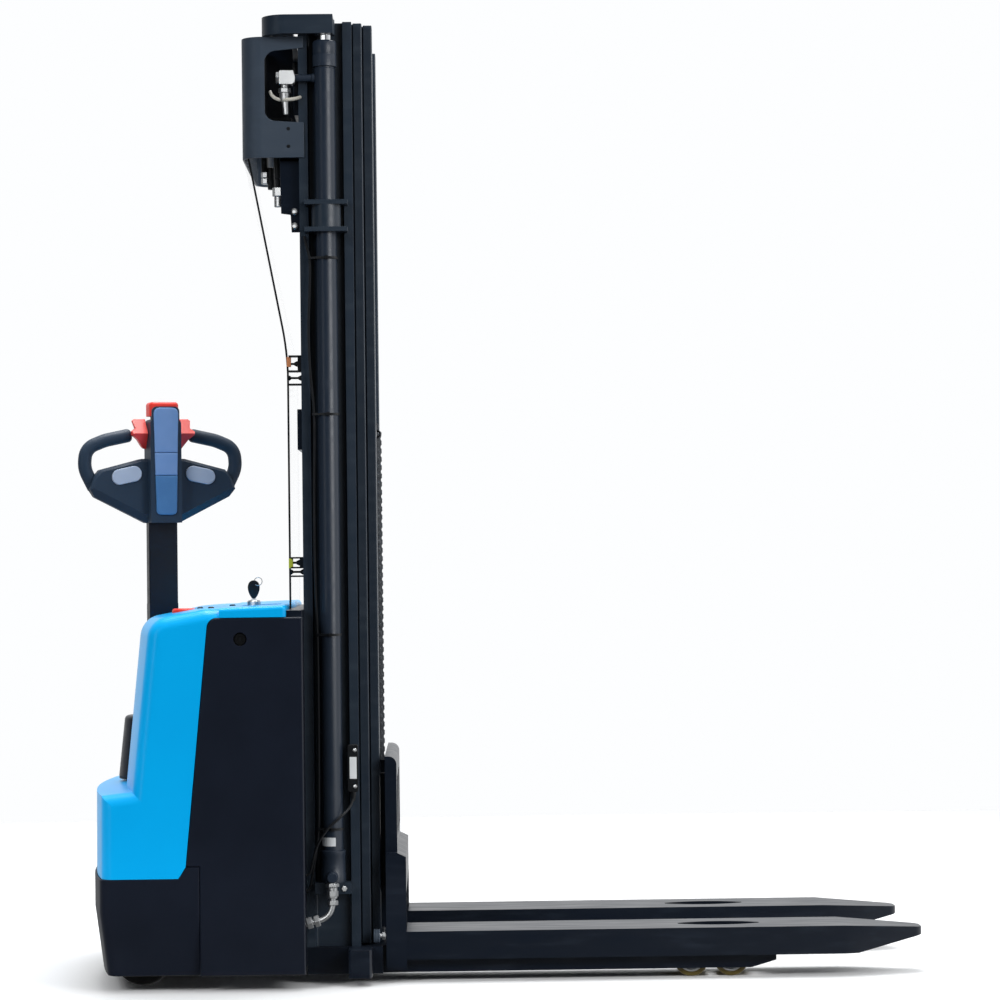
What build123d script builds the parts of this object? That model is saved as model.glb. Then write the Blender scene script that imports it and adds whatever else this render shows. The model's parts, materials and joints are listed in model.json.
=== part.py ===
from build123d import *
import os
from math import asin, atan2, cos, degrees, pi, sin, sqrt

# Electric stacker with a three-stage mast, in millimetres.
# +X points to the fork tips, +Y to the machine's left and +Z up. The floor is Z = 0.

# Overall plan
machine_width = 800.0
fork_tip_x = 947.5
fork_length = 1150.0
fork_centres = 400.0
floor_gap = 35.0
seam = 0.4
running_gap = 0.3
right_through = 3000.0

# Mast: three nested I-section rails a side
mast_rear_x = -422.5
mast_half_width = 280.0
rail_depth = 119.0
flange_width = 46.0
flange_thickness = 20.0
web_thickness = 10.0
rail_root_radius = 5.0
rail_side_gap = 1.5
rail_front_gap = 2.0
rail_top_z = 2131.0
sill_top_z = 80.0
stage_foot_gap = 3.0
tie_thickness = 10.0
tie_height = 90.0
tie_end_margin = 28.0
tie_side_margin = 8.0
outer_tie_low_z = 1180.0
outer_tie_high_z = 1923.0

# Lift cylinders at the mast's sides and the crosshead on their rods
barrel_diameter = 46.0
barrel_foot_z = 225.0
barrel_head_diameter = 52.0
barrel_head_height = 61.0
barrel_base_diameter = 56.0
barrel_base_height = 70.0
barrel_side_gap = 1.0
seat_height = 25.0
collar_z = 1660.0
collar_height = 70.0
collar_plate = 10.0
collar_lap = 8.0
lift_rod_diameter = 32.0
crosshead_plate = 9.0
crosshead_drop = 33.0
crosshead_rim = 16.0
crosshead_rear_x = -502.5
crosshead_front_x = -343.5
crosshead_corner = 55.0
crosshead_clearance = 13.0
rod_socket_skin = 6.0

# Free-lift cylinder, pulley and leaf chain in the middle of the inner stage
free_barrel_diameter = 64.0
free_rod_diameter = 42.0
free_barrel_top_z = 1130.0
pulley_axis_z = 1222.0
pulley_pitch_radius = 45.0
pulley_flange = 4.0
pulley_pin_diameter = 18.0
chain_pitch = 19.05
chain_plate_height = 17.0
chain_plate = 3.2
chain_waist = 12.0
chain_plate_count = 5
chain_inset = 4.5
chain_anchor_top_z = 482.0
chain_rear_anchor_z = 1010.0

# Carriage and forks
backrest_top_z = 497.0
backrest_half_width = 253.0
backrest_depth = 26.0
backrest_plate = 8.0
carriage_gap = 12.0
carriage_beam_z = 217.0
carriage_beam_height = 68.0
carriage_beam_slope = 10.0
heel_bevel_z = 186.0
heel_bevel_rise = 36.0
heel_bevel_depth = 17.0
carriage_beam_lip = 20.0
heel_foot_z = 29.0
heel_plate = 10.0
mast_roller_width = 14.0
mast_roller_stub = 30.0
fork_width = 170.0
fork_top_z = 112.0
fork_bottom_z = 50.0
fork_plate = 8.0
fork_taper_length = 180.0
fork_rise_length = 148.0
fork_nose_corner = 22.0
fork_nose_width = 66.0
fork_nose_top_z = 101.0
fork_nose_bottom_z = 84.0
fork_slot_length = 202.0
fork_slot_width = 64.0
fork_slot_x = 494.5

# Support legs and load rollers inside the forks
leg_width = 124.0
leg_plate = 10.0
leg_bottom_z = 20.0
leg_top_z = 80.0
leg_end_x = 617.5
leg_start_gap = 4.0
roller_diameter = 78.0
roller_width = 96.0
roller_first_x = 429.5
roller_spacing = 89.0
roller_pin_diameter = 20.0

# Covers
rear_x = -908.5
rear_bow = 45.0
cover_reach = 420.0
cover_wall = 5.0
hood_crown = 230.0
hood_crown_fall = 7.0
hood_shoulder = 110.0
hood_shoulder_fall = 29.0
hood_shoulder_radius = 50.0
hood_shelf_depth = 72.0
shelf_lean = 6.0
shelf_slope = 8.0
skirt_lean = 2.5
corner_radius = 30.0
panel_front_x = -421.0
panel_top_z = 812.0
panel_thickness = 12.0
panel_corner = 22.0
panel_step_x = -649.5
panel_lean_top_x = -626.5
panel_lean_foot_x = -679.0
lock_x = -556.5
lock_drop = 47.0
lock_diameter = 29.0
deck_seam_x = -601.5
deck_front_x = -456.5
deck_rise = 26.0
deck_fall = 5.0
saddle_half_width = 172.0
saddle_z = 734.0
saddle_front_x = -676.0
front_ledge_height = 14.0
shelf_z = 436.0
niche_top_z = 592.0
bumper_seam_z = 247.0
bumper_tab_rise = 25.0
bumper_tab_run = 16.0
bumper_bend_z = 172.0
bumper_tuck = 18.0

# Steering, drive and castors
steer_x = -758.5
rest_turn = 18.0
drum_foot_z = 446.0
drum_top_z = 584.0
drum_foot_radius = 103.0
drum_top_radius = 88.0
drum_clearance = 12.0
ring_height = 6.0
column_diameter = 96.0
column_top_z = 722.0
drive_wheel_diameter = 230.0
drive_wheel_width = 75.0
drive_wheel_clearance = 10.0
drive_axle_diameter = 40.0
motor_diameter = 150.0
platform_z = 240.0
platform_plate = 12.0
battery_floor_rise = 40.0
battery_height = 480.0
battery_length = 180.0
tank_length = 170.0
tank_height = 300.0
pump_motor_diameter = 118.0
pump_motor_height = 200.0
bearing_height = 26.0
bearing_bore = 206.0
bearing_diameter = 232.0
castor_diameter = 130.0
castor_width = 48.0
castor_y = 248.0
castor_trail = 30.0
castor_wheel_x = -785.0
castor_fork_plate = 7.0
castor_mount_z = 180.0
castor_axle_diameter = 14.0
castor_head_gap = 0.5
castor_stud = 20.0
castor_stud_length = 16.0

# Tiller
tilt_axis_z = 775.0
tilt_pin_diameter = 16.0
arm_width = 67.0
arm_depth = 30.0
arm_wall = 4.0
lug_cheek = 9.0
head_bottom_z = 1024.0
head_top_z = 1262.0
head_half_width = 36.0
head_neck_height = 14.0
head_neck_inset = 12.0
wing_bevel = 16.0
head_face = 50.0
head_back = 15.0
strip_width = 58.0
strip_rim = 3.0
strip_thickness = 5.0
strip_top_z = 1287.0
wing_face = 24.0
grip_diameter = 31.0
grip_back = 8.0
throttle_z = 1229.0
throttle_v = 18.0
throttle_shaft_diameter = 12.0
thumb_u = 86.0
thumb_z = 1133.0
thumb_length = 70.0
thumb_height = 36.0
thumb_slant = 12.0
thumb_depth = 9.0
thumb_gap = 0.5
thumb_travel = 3.0
belly_v = 14.0
belly_stem = 20.0
belly_stem_depth = 19.0
belly_wall = 5.0
belly_roof = 10.0
belly_travel = 6.0
belly_top_z = 1301.0

# Deck controls
estop_x = -690.0
estop_y = -230.0
estop_diameter = 54.0
estop_height = 14.0
estop_stem_diameter = 24.0
estop_travel = 5.0
estop_base_diameter = 62.0
estop_drop = 27.0
estop_seat_height = 11.0
estop_body_depth = 52.0
estop_body_diameter = 40.0
key_x = -540.0
key_y = -150.0
key_barrel_diameter = 30.0
key_plug = 16.0
key_proud = 8.0

# Mast dress: hose guard, clear screen, clips, sensor and cables
guard_rear_x = -549.5
guard_plate = 4.0
guard_height = 269.0
guard_top_gap = 1.0
guard_corner = 45.0
screen_thickness = 4.0
screen_half_width = 236.0
screen_bend_z = 1395.0
pipe_diameter = 16.0
pipe_offset = 16.0
pipe_nut = 14.0
pipe_wall_z = 138.0
pipe_port_rise = 14.0
pipe_bend = 30.0
relief_z = 2002.0
cable_diameter = 6.0
sensor_foot_z = 423.0
sensor_height = 104.0

# Values that follow from the sizes above
half_width = machine_width / 2
fork_heel_x = fork_tip_x - fork_length
fork_y = fork_centres / 2
stage_inset = (flange_width + web_thickness) / 2 + rail_side_gap
guard_top_z = rail_top_z - crosshead_drop - guard_top_gap
guard_bottom_z = guard_top_z - guard_height
stage_shift = flange_thickness + rail_front_gap
groove = (flange_width - web_thickness) / 2
cylinder_x = mast_rear_x + rail_depth / 2
cylinder_y = mast_half_width - groove + barrel_side_gap + barrel_base_diameter / 2
barrel_head_top_z = rail_top_z - crosshead_drop - crosshead_clearance
inner_front_x = mast_rear_x + 2 * stage_shift + rail_depth
chain_front_x = inner_front_x - chain_inset
pulley_x = chain_front_x - pulley_pitch_radius
carriage_rear_x = inner_front_x + carriage_gap
chain_width = chain_plate_count * chain_plate
bow_radius = (half_width ** 2 + rear_bow ** 2) / (2 * rear_bow)
bow_axis = Axis((rear_x + bow_radius, 0, 0), (0, 0, 1))
panel_y = half_width - panel_thickness
lock_z = panel_top_z - lock_drop
deck_z = panel_top_z + deck_rise
castor_x = castor_wheel_x + castor_trail
screen_x = deck_front_x + 2 * seam
step_wall_x = steer_x + drive_wheel_diameter / 2 + drive_wheel_clearance
battery_floor_z = leg_bottom_z + battery_floor_rise
estop_base_z = deck_z - estop_drop
turned = Pos(steer_x, 0, 0) * Rot(0, 0, rest_turn)


def slab(x0, x1, y0, y1, z0, z1):
    """Block between two opposite corners."""
    return Pos((x0 + x1) / 2, (y0 + y1) / 2, (z0 + z1) / 2) * Box(x1 - x0, y1 - y0, z1 - z0)


def post(x, y, z0, z1, diameter):
    """Upright round bar."""
    return Pos(x, y, (z0 + z1) / 2) * Cylinder(diameter / 2, z1 - z0)


def bar(x, y0, y1, z, diameter):
    """Round bar lying across the machine."""
    return Pos(x, (y0 + y1) / 2, z) * Rot(90, 0, 0) * Cylinder(diameter / 2, y1 - y0)


def side_cut(points, y0, y1, radius=0.0, rounded=()):
    """Side view outline of (x, z) points drawn out from y0 to y1, with some corners rounded."""
    face = make_face(Polyline(*[(x, y0, z) for x, z in points], close=True))
    if radius:
        corners = [v for v in face.vertices() if any(abs(v.X - x) + abs(v.Z - z) < 0.01 for x, z in rounded)]
        face = fillet(corners, radius)
    return extrude(face, y1 - y0, dir=(0, 1, 0))


def plan_cut(points, z0, z1, radius=0.0, rounded=()):
    """Plan outline of (x, y) points drawn up from z0 to z1, with some corners rounded."""
    face = make_face(Polyline(*[(x, y, z0) for x, y in points], close=True))
    if radius:
        corners = [v for v in face.vertices() if any(abs(v.X - x) + abs(v.Y - y) < 0.01 for x, y in rounded)]
        face = fillet(corners, radius)
    return extrude(face, z1 - z0, dir=(0, 0, 1))


def other_side(shape):
    """Mirror image on the machine's right."""
    return mirror(shape, about=Plane.XZ)


def stage_x(stage):
    """Rear face of a stage's rails: 0 outer, 1 middle, 2 inner."""
    return mast_rear_x + stage * stage_shift


def stage_y(stage):
    """Outer edge of a stage's left rail."""
    return mast_half_width - stage * stage_inset


def rail(stage, z0, z1):
    """Left rail of a stage: web fore and aft, a flange at each end."""
    section = Rectangle(rail_depth, flange_width)
    hollow = Rectangle(rail_depth - 2 * flange_thickness, groove)
    offset_y = (web_thickness + groove) / 2
    section -= [Pos(0, offset_y) * hollow, Pos(0, -offset_y) * hollow]
    roots = section.vertices().filter_by(lambda v: abs(abs(v.Y) - web_thickness / 2) < 0.01)
    section = fillet(roots, rail_root_radius)
    centre = Pos(stage_x(stage) + rail_depth / 2, stage_y(stage) - flange_width / 2, z0)
    return extrude(centre * section, z1 - z0)


def outer_rail():
    """Left fixed rail with the seat for the lift cylinder's foot and the collar that steadies its barrel."""
    seat_z0 = barrel_foot_z - seat_height
    web_face = mast_half_width - groove
    front = mast_rear_x + rail_depth - flange_thickness
    rear = mast_rear_x + flange_thickness
    seat = slab(rear, front, web_face, cylinder_y + barrel_diameter / 2, seat_z0, barrel_foot_z)
    return rail(0, sill_top_z, rail_top_z - rail_front_gap) + seat + cylinder_collar()


def stage_tie(stage, z0):
    """Cross plate between the rear flanges of a moving stage."""
    inner_edge = stage_y(stage) - flange_width
    x0 = stage_x(stage)
    return slab(x0, x0 + tie_thickness, -inner_edge, inner_edge, z0, z0 + tie_height)


def outer_tie(z0):
    """Cross plate on the rear faces of the fixed rails."""
    reach = mast_half_width - tie_side_margin
    return slab(mast_rear_x - tie_thickness, mast_rear_x, -reach, reach, z0, z0 + tie_height)


def lift_barrel():
    """Left lift cylinder: base with its port boss, tube and screwed head, bored for the rod."""
    top = barrel_head_top_z
    tube = post(cylinder_x, cylinder_y, barrel_foot_z, top, barrel_diameter)
    base_top = barrel_foot_z + barrel_base_height
    base = post(cylinder_x, cylinder_y, barrel_foot_z, base_top, barrel_base_diameter)
    base = chamfer(base.edges().group_by(Axis.Z)[-1], 3)
    head = post(cylinder_x, cylinder_y, top - barrel_head_height, top, barrel_head_diameter)
    head = chamfer(head.edges().group_by(Axis.Z)[0], 4)
    bore = lift_rod_diameter + 2 * running_gap
    return tube + base + head - post(cylinder_x, cylinder_y, base_top - barrel_base_height / 2, top, bore)


def cylinder_collar():
    """Two plates on the edges of the rail's flanges with a ring round the barrel between them."""
    ring_outer = barrel_diameter + 2 * running_gap + 18.0
    z_mid = collar_z + collar_height / 2
    lap = flange_thickness - collar_lap
    ring = post(cylinder_x, cylinder_y, z_mid - 26.0, z_mid + 26.0, ring_outer)
    plates = []
    for z0 in (collar_z, collar_z + collar_height - collar_plate):
        plates.append(slab(
            mast_rear_x + lap, mast_rear_x + rail_depth - lap,
            mast_half_width, cylinder_y + ring_outer / 2, z0, z0 + collar_plate,
        ))
    clamp = ring + plates
    clamp -= slab(
        mast_rear_x, mast_rear_x + rail_depth, 0, mast_half_width, collar_z, collar_z + collar_height
    )
    return clamp - post(
        cylinder_x, cylinder_y, collar_z, collar_z + collar_height, barrel_diameter + 2 * running_gap
    )


def crosshead():
    """Cap over the lift rods: a U in plan with a rim that hangs down, standing on the middle rails."""
    outer = cylinder_y + barrel_diameter / 2 + 7.0
    inner = stage_y(2) + 4.0
    bridge_x = crosshead_rear_x + 62.0
    rear, front = crosshead_rear_x, crosshead_front_x
    outline = [
        (rear, -outer), (front, -outer), (front, -inner), (bridge_x, -inner),
        (bridge_x, inner), (front, inner), (front, outer), (rear, outer),
    ]
    corners = [(rear, -outer), (rear, outer)]
    z1 = rail_top_z + crosshead_plate
    z0 = rail_top_z - crosshead_drop
    cap = plan_cut(outline, z0, z1, crosshead_corner, corners)
    rim = crosshead_rim
    pocket = [
        (rear + rim, -outer + rim), (front, -outer + rim), (front, -inner), (bridge_x, -inner),
        (bridge_x, inner), (front, inner), (front, outer - rim), (rear + rim, outer - rim),
    ]
    pocket_corners = [(rear + rim, -outer + rim), (rear + rim, outer - rim)]
    cap -= plan_cut(pocket, z0, rail_top_z, crosshead_corner - rim, pocket_corners)
    bosses = [post(cylinder_x, s * cylinder_y, z0, rail_top_z, lift_rod_diameter + 14.0) for s in (1, -1)]
    return cap + bosses - [
        post(cylinder_x, s * cylinder_y, z0, rail_top_z - rod_socket_skin, lift_rod_diameter) for s in (1, -1)
    ]


def lift_rod():
    """Left piston rod, held in the crosshead's boss."""
    foot = barrel_foot_z + barrel_base_height / 2 + 10.0
    return post(cylinder_x, cylinder_y, foot, rail_top_z - rod_socket_skin, lift_rod_diameter)


def free_lift_barrel():
    """Middle cylinder on the inner stage's foot: plate, low tie and barrel with the rear chain anchor."""
    z0 = sill_top_z + stage_foot_gap
    inner_edge = stage_y(2) - flange_width
    plate_rear = stage_x(2) + tie_thickness
    foot = slab(plate_rear, inner_front_x - flange_thickness, -inner_edge, inner_edge, z0, z0 + 12.0)
    barrel = post(pulley_x, 0, z0 + 12.0, free_barrel_top_z, free_barrel_diameter)
    anchor_x = pulley_x - pulley_pitch_radius
    lug_top = chain_pins()[2][-1][1] - chain_plate_height / 2 - running_gap
    lug_half = chain_width / 2 + 4.0
    lug = slab(anchor_x - 10.0, pulley_x, -lug_half, lug_half, lug_top - 50.0, lug_top)
    bore = post(
        pulley_x, 0, z0 + 60.0, free_barrel_top_z, free_rod_diameter + 2 * running_gap
    )
    return foot + stage_tie(2, z0) + barrel + lug - bore


def free_lift_rod():
    """Piston rod with the forked head that carries the chain pulley."""
    gap = chain_width / 2 + pulley_flange + 2.0
    cheek = 10.0
    radius = 30.0
    head_z0 = free_barrel_top_z + 4.0
    rod = post(pulley_x, 0, sill_top_z + 80.0, head_z0, free_rod_diameter)
    crown = slab(pulley_x - radius, pulley_x + radius, -gap - cheek, gap + cheek, head_z0, head_z0 + 26.0)
    cheeks = []
    for y0 in (-gap - cheek, gap):
        plate = slab(pulley_x - radius, pulley_x + radius, y0, y0 + cheek, head_z0, pulley_axis_z)
        cheeks.append(plate + bar(pulley_x, y0, y0 + cheek, pulley_axis_z, 2 * radius))
    pin = bar(pulley_x, -gap - cheek, gap + cheek, pulley_axis_z, pulley_pin_diameter)
    return rod + crown + cheeks + pin


def chain_pulley():
    """Grooved wheel for the leaf chain."""
    tread = pulley_pitch_radius - chain_plate_height / 2 - running_gap
    half = chain_width / 2 + 1.0
    wheel = bar(pulley_x, -half - pulley_flange, half + pulley_flange, pulley_axis_z, 2 * tread)
    for y0 in (-half - pulley_flange, half):
        wheel += bar(pulley_x, y0, y0 + pulley_flange, pulley_axis_z, 2 * (tread + 11.0))
    return wheel - bar(
        pulley_x, -half - pulley_flange, half + pulley_flange, pulley_axis_z,
        pulley_pin_diameter + 0.1,
    )


def chain_run(pins, first_wide):
    """Leaf chain through the given (x, z) pins: round plate ends at each pin, waisted plates between."""
    ends = Sketch() + [Pos(x, z) * Circle(chain_plate_height / 2) for x, z in pins]
    wide_plates = []
    narrow_plates = []
    for index in range(len(pins) - 1):
        (xa, za), (xb, zb) = pins[index], pins[index + 1]
        turn = degrees(atan2(zb - za, xb - xa))
        plate = Pos((xa + xb) / 2, (za + zb) / 2) * Rot(0, 0, turn) * Rectangle(chain_pitch, chain_waist)
        if (index % 2 == 0) == first_wide:
            wide_plates.append(plate)
        else:
            narrow_plates.append(plate)
    upright = Plane.XZ
    wide = extrude(upright * (ends + wide_plates), chain_width / 2, both=True)
    narrow = extrude(upright * (Sketch() + narrow_plates), chain_width / 2 - chain_plate, both=True)
    return wide + narrow


def chain_pins():
    """Pins of the three runs: up the front, over the pulley, down the rear to its anchor."""
    step = 2 * asin(chain_pitch / 2 / pulley_pitch_radius)
    wrap_links = int(pi / step)
    start = (pi - wrap_links * step) / 2
    over = []
    for index in range(wrap_links + 1):
        angle = start + index * step
        across_x, up_z = pulley_pitch_radius * cos(angle), pulley_pitch_radius * sin(angle)
        over.append((pulley_x + across_x, pulley_axis_z + up_z))
    top_z = over[0][1]
    front_links = int((top_z - chain_anchor_top_z) / chain_pitch)
    front = [(chain_front_x, top_z - chain_pitch * n) for n in range(1, front_links + 1)]
    rear_links = int((top_z - chain_rear_anchor_z) / chain_pitch)
    rear_x = pulley_x - pulley_pitch_radius
    rear = [(rear_x, top_z - chain_pitch * n) for n in range(1, rear_links + 1)]
    return front, over, rear


def lift_chain():
    """The chain's two runs: the front one with its turn over the pulley, and the rear one to its anchor."""
    front, over, rear = chain_pins()
    front_run = chain_run(list(reversed(over)) + front, True)
    rear_run = chain_run([over[-1]] + rear, False)
    return front_run, rear_run - front_run


def carriage():
    """Fork carriage: flanged backrest with a window, cross beam, heel plates and roller brackets."""
    rear = carriage_rear_x
    front = rear + backrest_depth
    half = backrest_half_width
    beam_top = carriage_beam_z + carriage_beam_height
    top_radius = 18.0
    shell = side_cut(
        [(rear, carriage_beam_z), (front, carriage_beam_z), (front, backrest_top_z), (rear, backrest_top_z)],
        -half, half, top_radius, [(front, backrest_top_z)],
    )
    inside = side_cut(
        [(rear, 0), (front - backrest_plate, 0), (front - backrest_plate, backrest_top_z - backrest_plate),
         (rear, backrest_top_z - backrest_plate)],
        -half + backrest_plate, half - backrest_plate, top_radius - backrest_plate,
        [(front - backrest_plate, backrest_top_z - backrest_plate)],
    )
    window_half = half - 70.0
    window = slab(rear, front, 40.0, window_half, beam_top + 30.0, backrest_top_z - 50.0)
    backrest = shell - inside - window - other_side(window)
    heel_half = fork_y + fork_width / 2
    lip_z = carriage_beam_z - carriage_beam_lip
    heel_x = fork_heel_x
    slope_x = front - 2.0
    slope_z = beam_top - carriage_beam_slope
    beam = side_cut(
        [(rear, lip_z), (heel_x, lip_z), (heel_x, slope_z), (slope_x, beam_top), (rear, beam_top)],
        -heel_half, heel_half,
    )
    wall = heel_plate
    beam -= side_cut(
        [(rear + wall, lip_z), (heel_x - wall, lip_z), (heel_x - wall, slope_z - wall),
         (slope_x - wall, beam_top - wall), (rear + wall, beam_top - wall)],
        -heel_half + heel_bevel_depth + wall, heel_half - heel_bevel_depth - wall,
    )
    body = backrest + beam
    for centre in (fork_y, -fork_y):
        for edge in (-1, 1):
            y_out = centre + edge * fork_width / 2
            y_in = y_out - edge * heel_plate
            body += slab(
                rear, fork_heel_x, min(y_out, y_in), max(y_out, y_in), heel_foot_z, carriage_beam_z
            )
    body -= heel_bevel(heel_half, beam_top)
    body -= other_side(heel_bevel(heel_half, beam_top))
    bracket_y = stage_y(2) - flange_width - rail_side_gap
    for side in (1, -1):
        y0, y1 = sorted((side * bracket_y, side * (bracket_y - heel_plate)))
        body += slab(stage_x(2) + 40.0, rear, y0, y1, sill_top_z + 30.0, beam_top + 170.0)
    anchor_half = chain_width / 2 + 6.0
    body += slab(
        chain_front_x - chain_plate_height / 2, front - backrest_plate, -anchor_half, anchor_half,
        beam_top, chain_pins()[0][-1][1] - chain_plate_height / 2 - running_gap,
    )
    for x, y, z in mast_roller_places():
        inner = bracket_y if y > 0 else -bracket_y
        body += mast_roller(x, y, z) + bar(x, min(inner, y), max(inner, y), z, mast_roller_stub)
    return body


def heel_bevel(heel_half, beam_top):
    """What is cut off the beam's left end: a slope above the heel plate, then straight up."""
    bevel_top = heel_bevel_z + heel_bevel_rise
    inner = heel_half - heel_bevel_depth
    outline = [(heel_half, heel_bevel_z), (inner, bevel_top), (inner, beam_top), (heel_half, beam_top)]
    face = make_face(Polyline(*[(carriage_rear_x, y, z) for y, z in outline], close=True))
    return extrude(face, fork_heel_x - carriage_rear_x, dir=(1, 0, 0))


def mast_roller_places():
    """Centres of the carriage's four rollers in the inner rails' grooves."""
    x = stage_x(2) + rail_depth / 2
    y = stage_y(2) - flange_width + groove / 2
    heights = (sill_top_z + 75.0, carriage_beam_z + carriage_beam_height + 125.0)
    return [(x, side * y, z) for side in (1, -1) for z in heights]


def mast_roller(x, y, z):
    """Roller that runs between a rail's flanges, its edges clear of the rail's root radii."""
    outer = rail_depth - 2 * flange_thickness - 2 * running_gap
    roller = bar(x, y - mast_roller_width / 2, y + mast_roller_width / 2, z, outer)
    return chamfer(roller.edges().filter_by(GeomType.CIRCLE), rail_root_radius)


def fork_form(inset):
    """Left fork's solid outline, drawn in by an inset: a long bar with a nose that thins and narrows."""
    half = fork_width / 2 - inset
    taper_x = fork_tip_x - fork_taper_length
    nose = fork_nose_width / 2 - inset
    tip = fork_tip_x - inset
    rise_x = fork_tip_x - fork_rise_length
    open_below = 100.0 if inset else 0.0
    drop = fork_bottom_z - open_below
    side = side_cut(
        [(fork_heel_x, drop), (rise_x, drop), (tip, fork_nose_bottom_z - open_below),
         (tip, fork_nose_top_z - inset), (taper_x, fork_top_z - inset), (fork_heel_x, fork_top_z - inset)],
        fork_y - half, fork_y + half,
    )
    plan = plan_cut(
        [(fork_heel_x, fork_y - half), (taper_x, fork_y - half), (tip, fork_y - nose),
         (tip, fork_y + nose), (taper_x, fork_y + half), (fork_heel_x, fork_y + half)],
        -200.0, fork_top_z + 50.0, fork_nose_corner - inset, [(tip, fork_y - nose), (tip, fork_y + nose)],
    )
    return side & plan


def fork():
    """Left fork: a pressed channel, open below, with the lens-shaped slot over its rollers."""
    slot_radius = (fork_slot_length ** 2 / 4 + fork_slot_width ** 2 / 4) / fork_slot_width
    reach = slot_radius - fork_slot_width / 2
    lens = post(fork_slot_x, fork_y + reach, fork_top_z - 2 * fork_plate, fork_top_z + 5.0, 2 * slot_radius)
    lens &= post(fork_slot_x, fork_y - reach, fork_top_z - 2 * fork_plate, fork_top_z + 5.0, 2 * slot_radius)
    half_slot = fork_slot_length / 2 - 10.0
    lens &= slab(fork_slot_x - half_slot, fork_slot_x + half_slot, 0, 2 * fork_y, 0, 2 * fork_top_z)
    return fork_form(0.0) - fork_form(fork_plate) - lens


def leg():
    """Left support leg: two side plates under a top plate, open at the end for its pair of rollers."""
    start = inner_front_x + leg_start_gap
    y0, y1 = fork_y - leg_width / 2, fork_y + leg_width / 2
    pocket_x = roller_first_x - roller_diameter / 2 - 12.0
    outline = [
        (start, leg_bottom_z), (leg_end_x - 55.0, leg_bottom_z), (leg_end_x, leg_bottom_z + 16.0),
        (leg_end_x, leg_top_z - 14.0), (leg_end_x - 14.0, leg_top_z), (start, leg_top_z),
    ]
    solid = side_cut(outline, y0, y1)
    solid -= slab(start, pocket_x, y0 + leg_plate, y1 - leg_plate, 0, leg_top_z - leg_plate)
    solid -= slab(pocket_x, leg_end_x - leg_plate, y0 + leg_plate, y1 - leg_plate, 0, leg_top_z + 10.0)
    pins = [bar(x, y0, y1, roller_diameter / 2, roller_pin_diameter) for x in roller_places()]
    return solid + pins


def roller_places():
    """Fore-and-aft places of a leg's two rollers."""
    return (roller_first_x, roller_first_x + roller_spacing)


def load_roller(x, side):
    """Polyurethane-tyred roller on its pin."""
    y = side * fork_y
    ring = bar(x, y - roller_width / 2, y + roller_width / 2, roller_diameter / 2, roller_diameter)
    ring = fillet(ring.edges().filter_by(GeomType.CIRCLE), 4)
    return ring - bar(x, y - roller_width, y + roller_width, roller_diameter / 2, roller_pin_diameter + 0.1)


def bowed(points, inset, radius, shoulder):
    """Side outline with a rounded shoulder, swung about the bow's axis, cut to width, side edges rounded."""
    face = make_face(Polyline(*[(x, 0, z) for x, z in points], close=True))
    corners = [v for v in face.vertices() if abs(v.X - shoulder[0]) + abs(v.Z - shoulder[1]) < 0.01]
    face = fillet(corners, radius)
    wide = half_width - inset
    swing = 1.2 * degrees(asin(half_width / (bow_radius - cover_reach)))
    body = revolve(face, bow_axis, 2 * swing).rotate(bow_axis, -swing)
    body &= slab(-right_through, right_through, -wide, wide, -right_through, right_through)
    low = min(z for x, z in points)
    front = max(x for x, z in points)
    edges = [
        e for e in body.edges()
        if abs(abs(e.center().Y) - wide) < 0.01 and e.center().Z > low + 1.0 and e.center().X < front - 20.0
    ]
    return fillet(edges, corner_radius - inset)


def hood_body(inset):
    """Blue rear body from its side outline at the middle plane, drawn in by an inset."""
    front = rear_x + cover_reach
    shelf_x = rear_x + hood_shelf_depth
    shoulder = (rear_x + hood_shoulder + 0.9 * inset, deck_z - hood_shoulder_fall - inset)
    points = [
        (front, 0.0), (front, deck_z - deck_fall - inset),
        (rear_x + hood_crown, deck_z - hood_crown_fall - inset), shoulder, (shelf_x + inset, shelf_z - inset),
        (rear_x + shelf_lean + inset, shelf_z - shelf_slope - inset), (rear_x + skirt_lean + inset, 0.0),
    ]
    return bowed(points, inset, hood_shoulder_radius - inset, shoulder)


def hood_form(inset):
    """Rear body with the tiller's saddle and the drum's niche taken out, all drawn in by an inset."""
    body = hood_body(inset)
    far = rear_x - 100.0
    radius = drum_foot_radius + drum_clearance + inset
    half = saddle_half_width + inset
    saddle = slab(far, saddle_front_x + inset, -half, half, saddle_z - inset, right_through)
    niche = post(steer_x, 0, shelf_z - inset, niche_top_z + inset, 2 * radius)
    niche += slab(far, steer_x, -radius, radius, shelf_z - inset, niche_top_z + inset)
    return body - saddle - niche


def seam_line(lower):
    """Joint of blue body and bumper from the panel's foot to the rear, with the bumper's tab, lowered."""
    tab_x = panel_lean_foot_x - seam
    tab_z = bumper_seam_z + bumper_tab_rise - lower
    seam_z = bumper_seam_z - lower
    return [(tab_x, tab_z), (tab_x - bumper_tab_run, seam_z), (-right_through, seam_z)]


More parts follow.
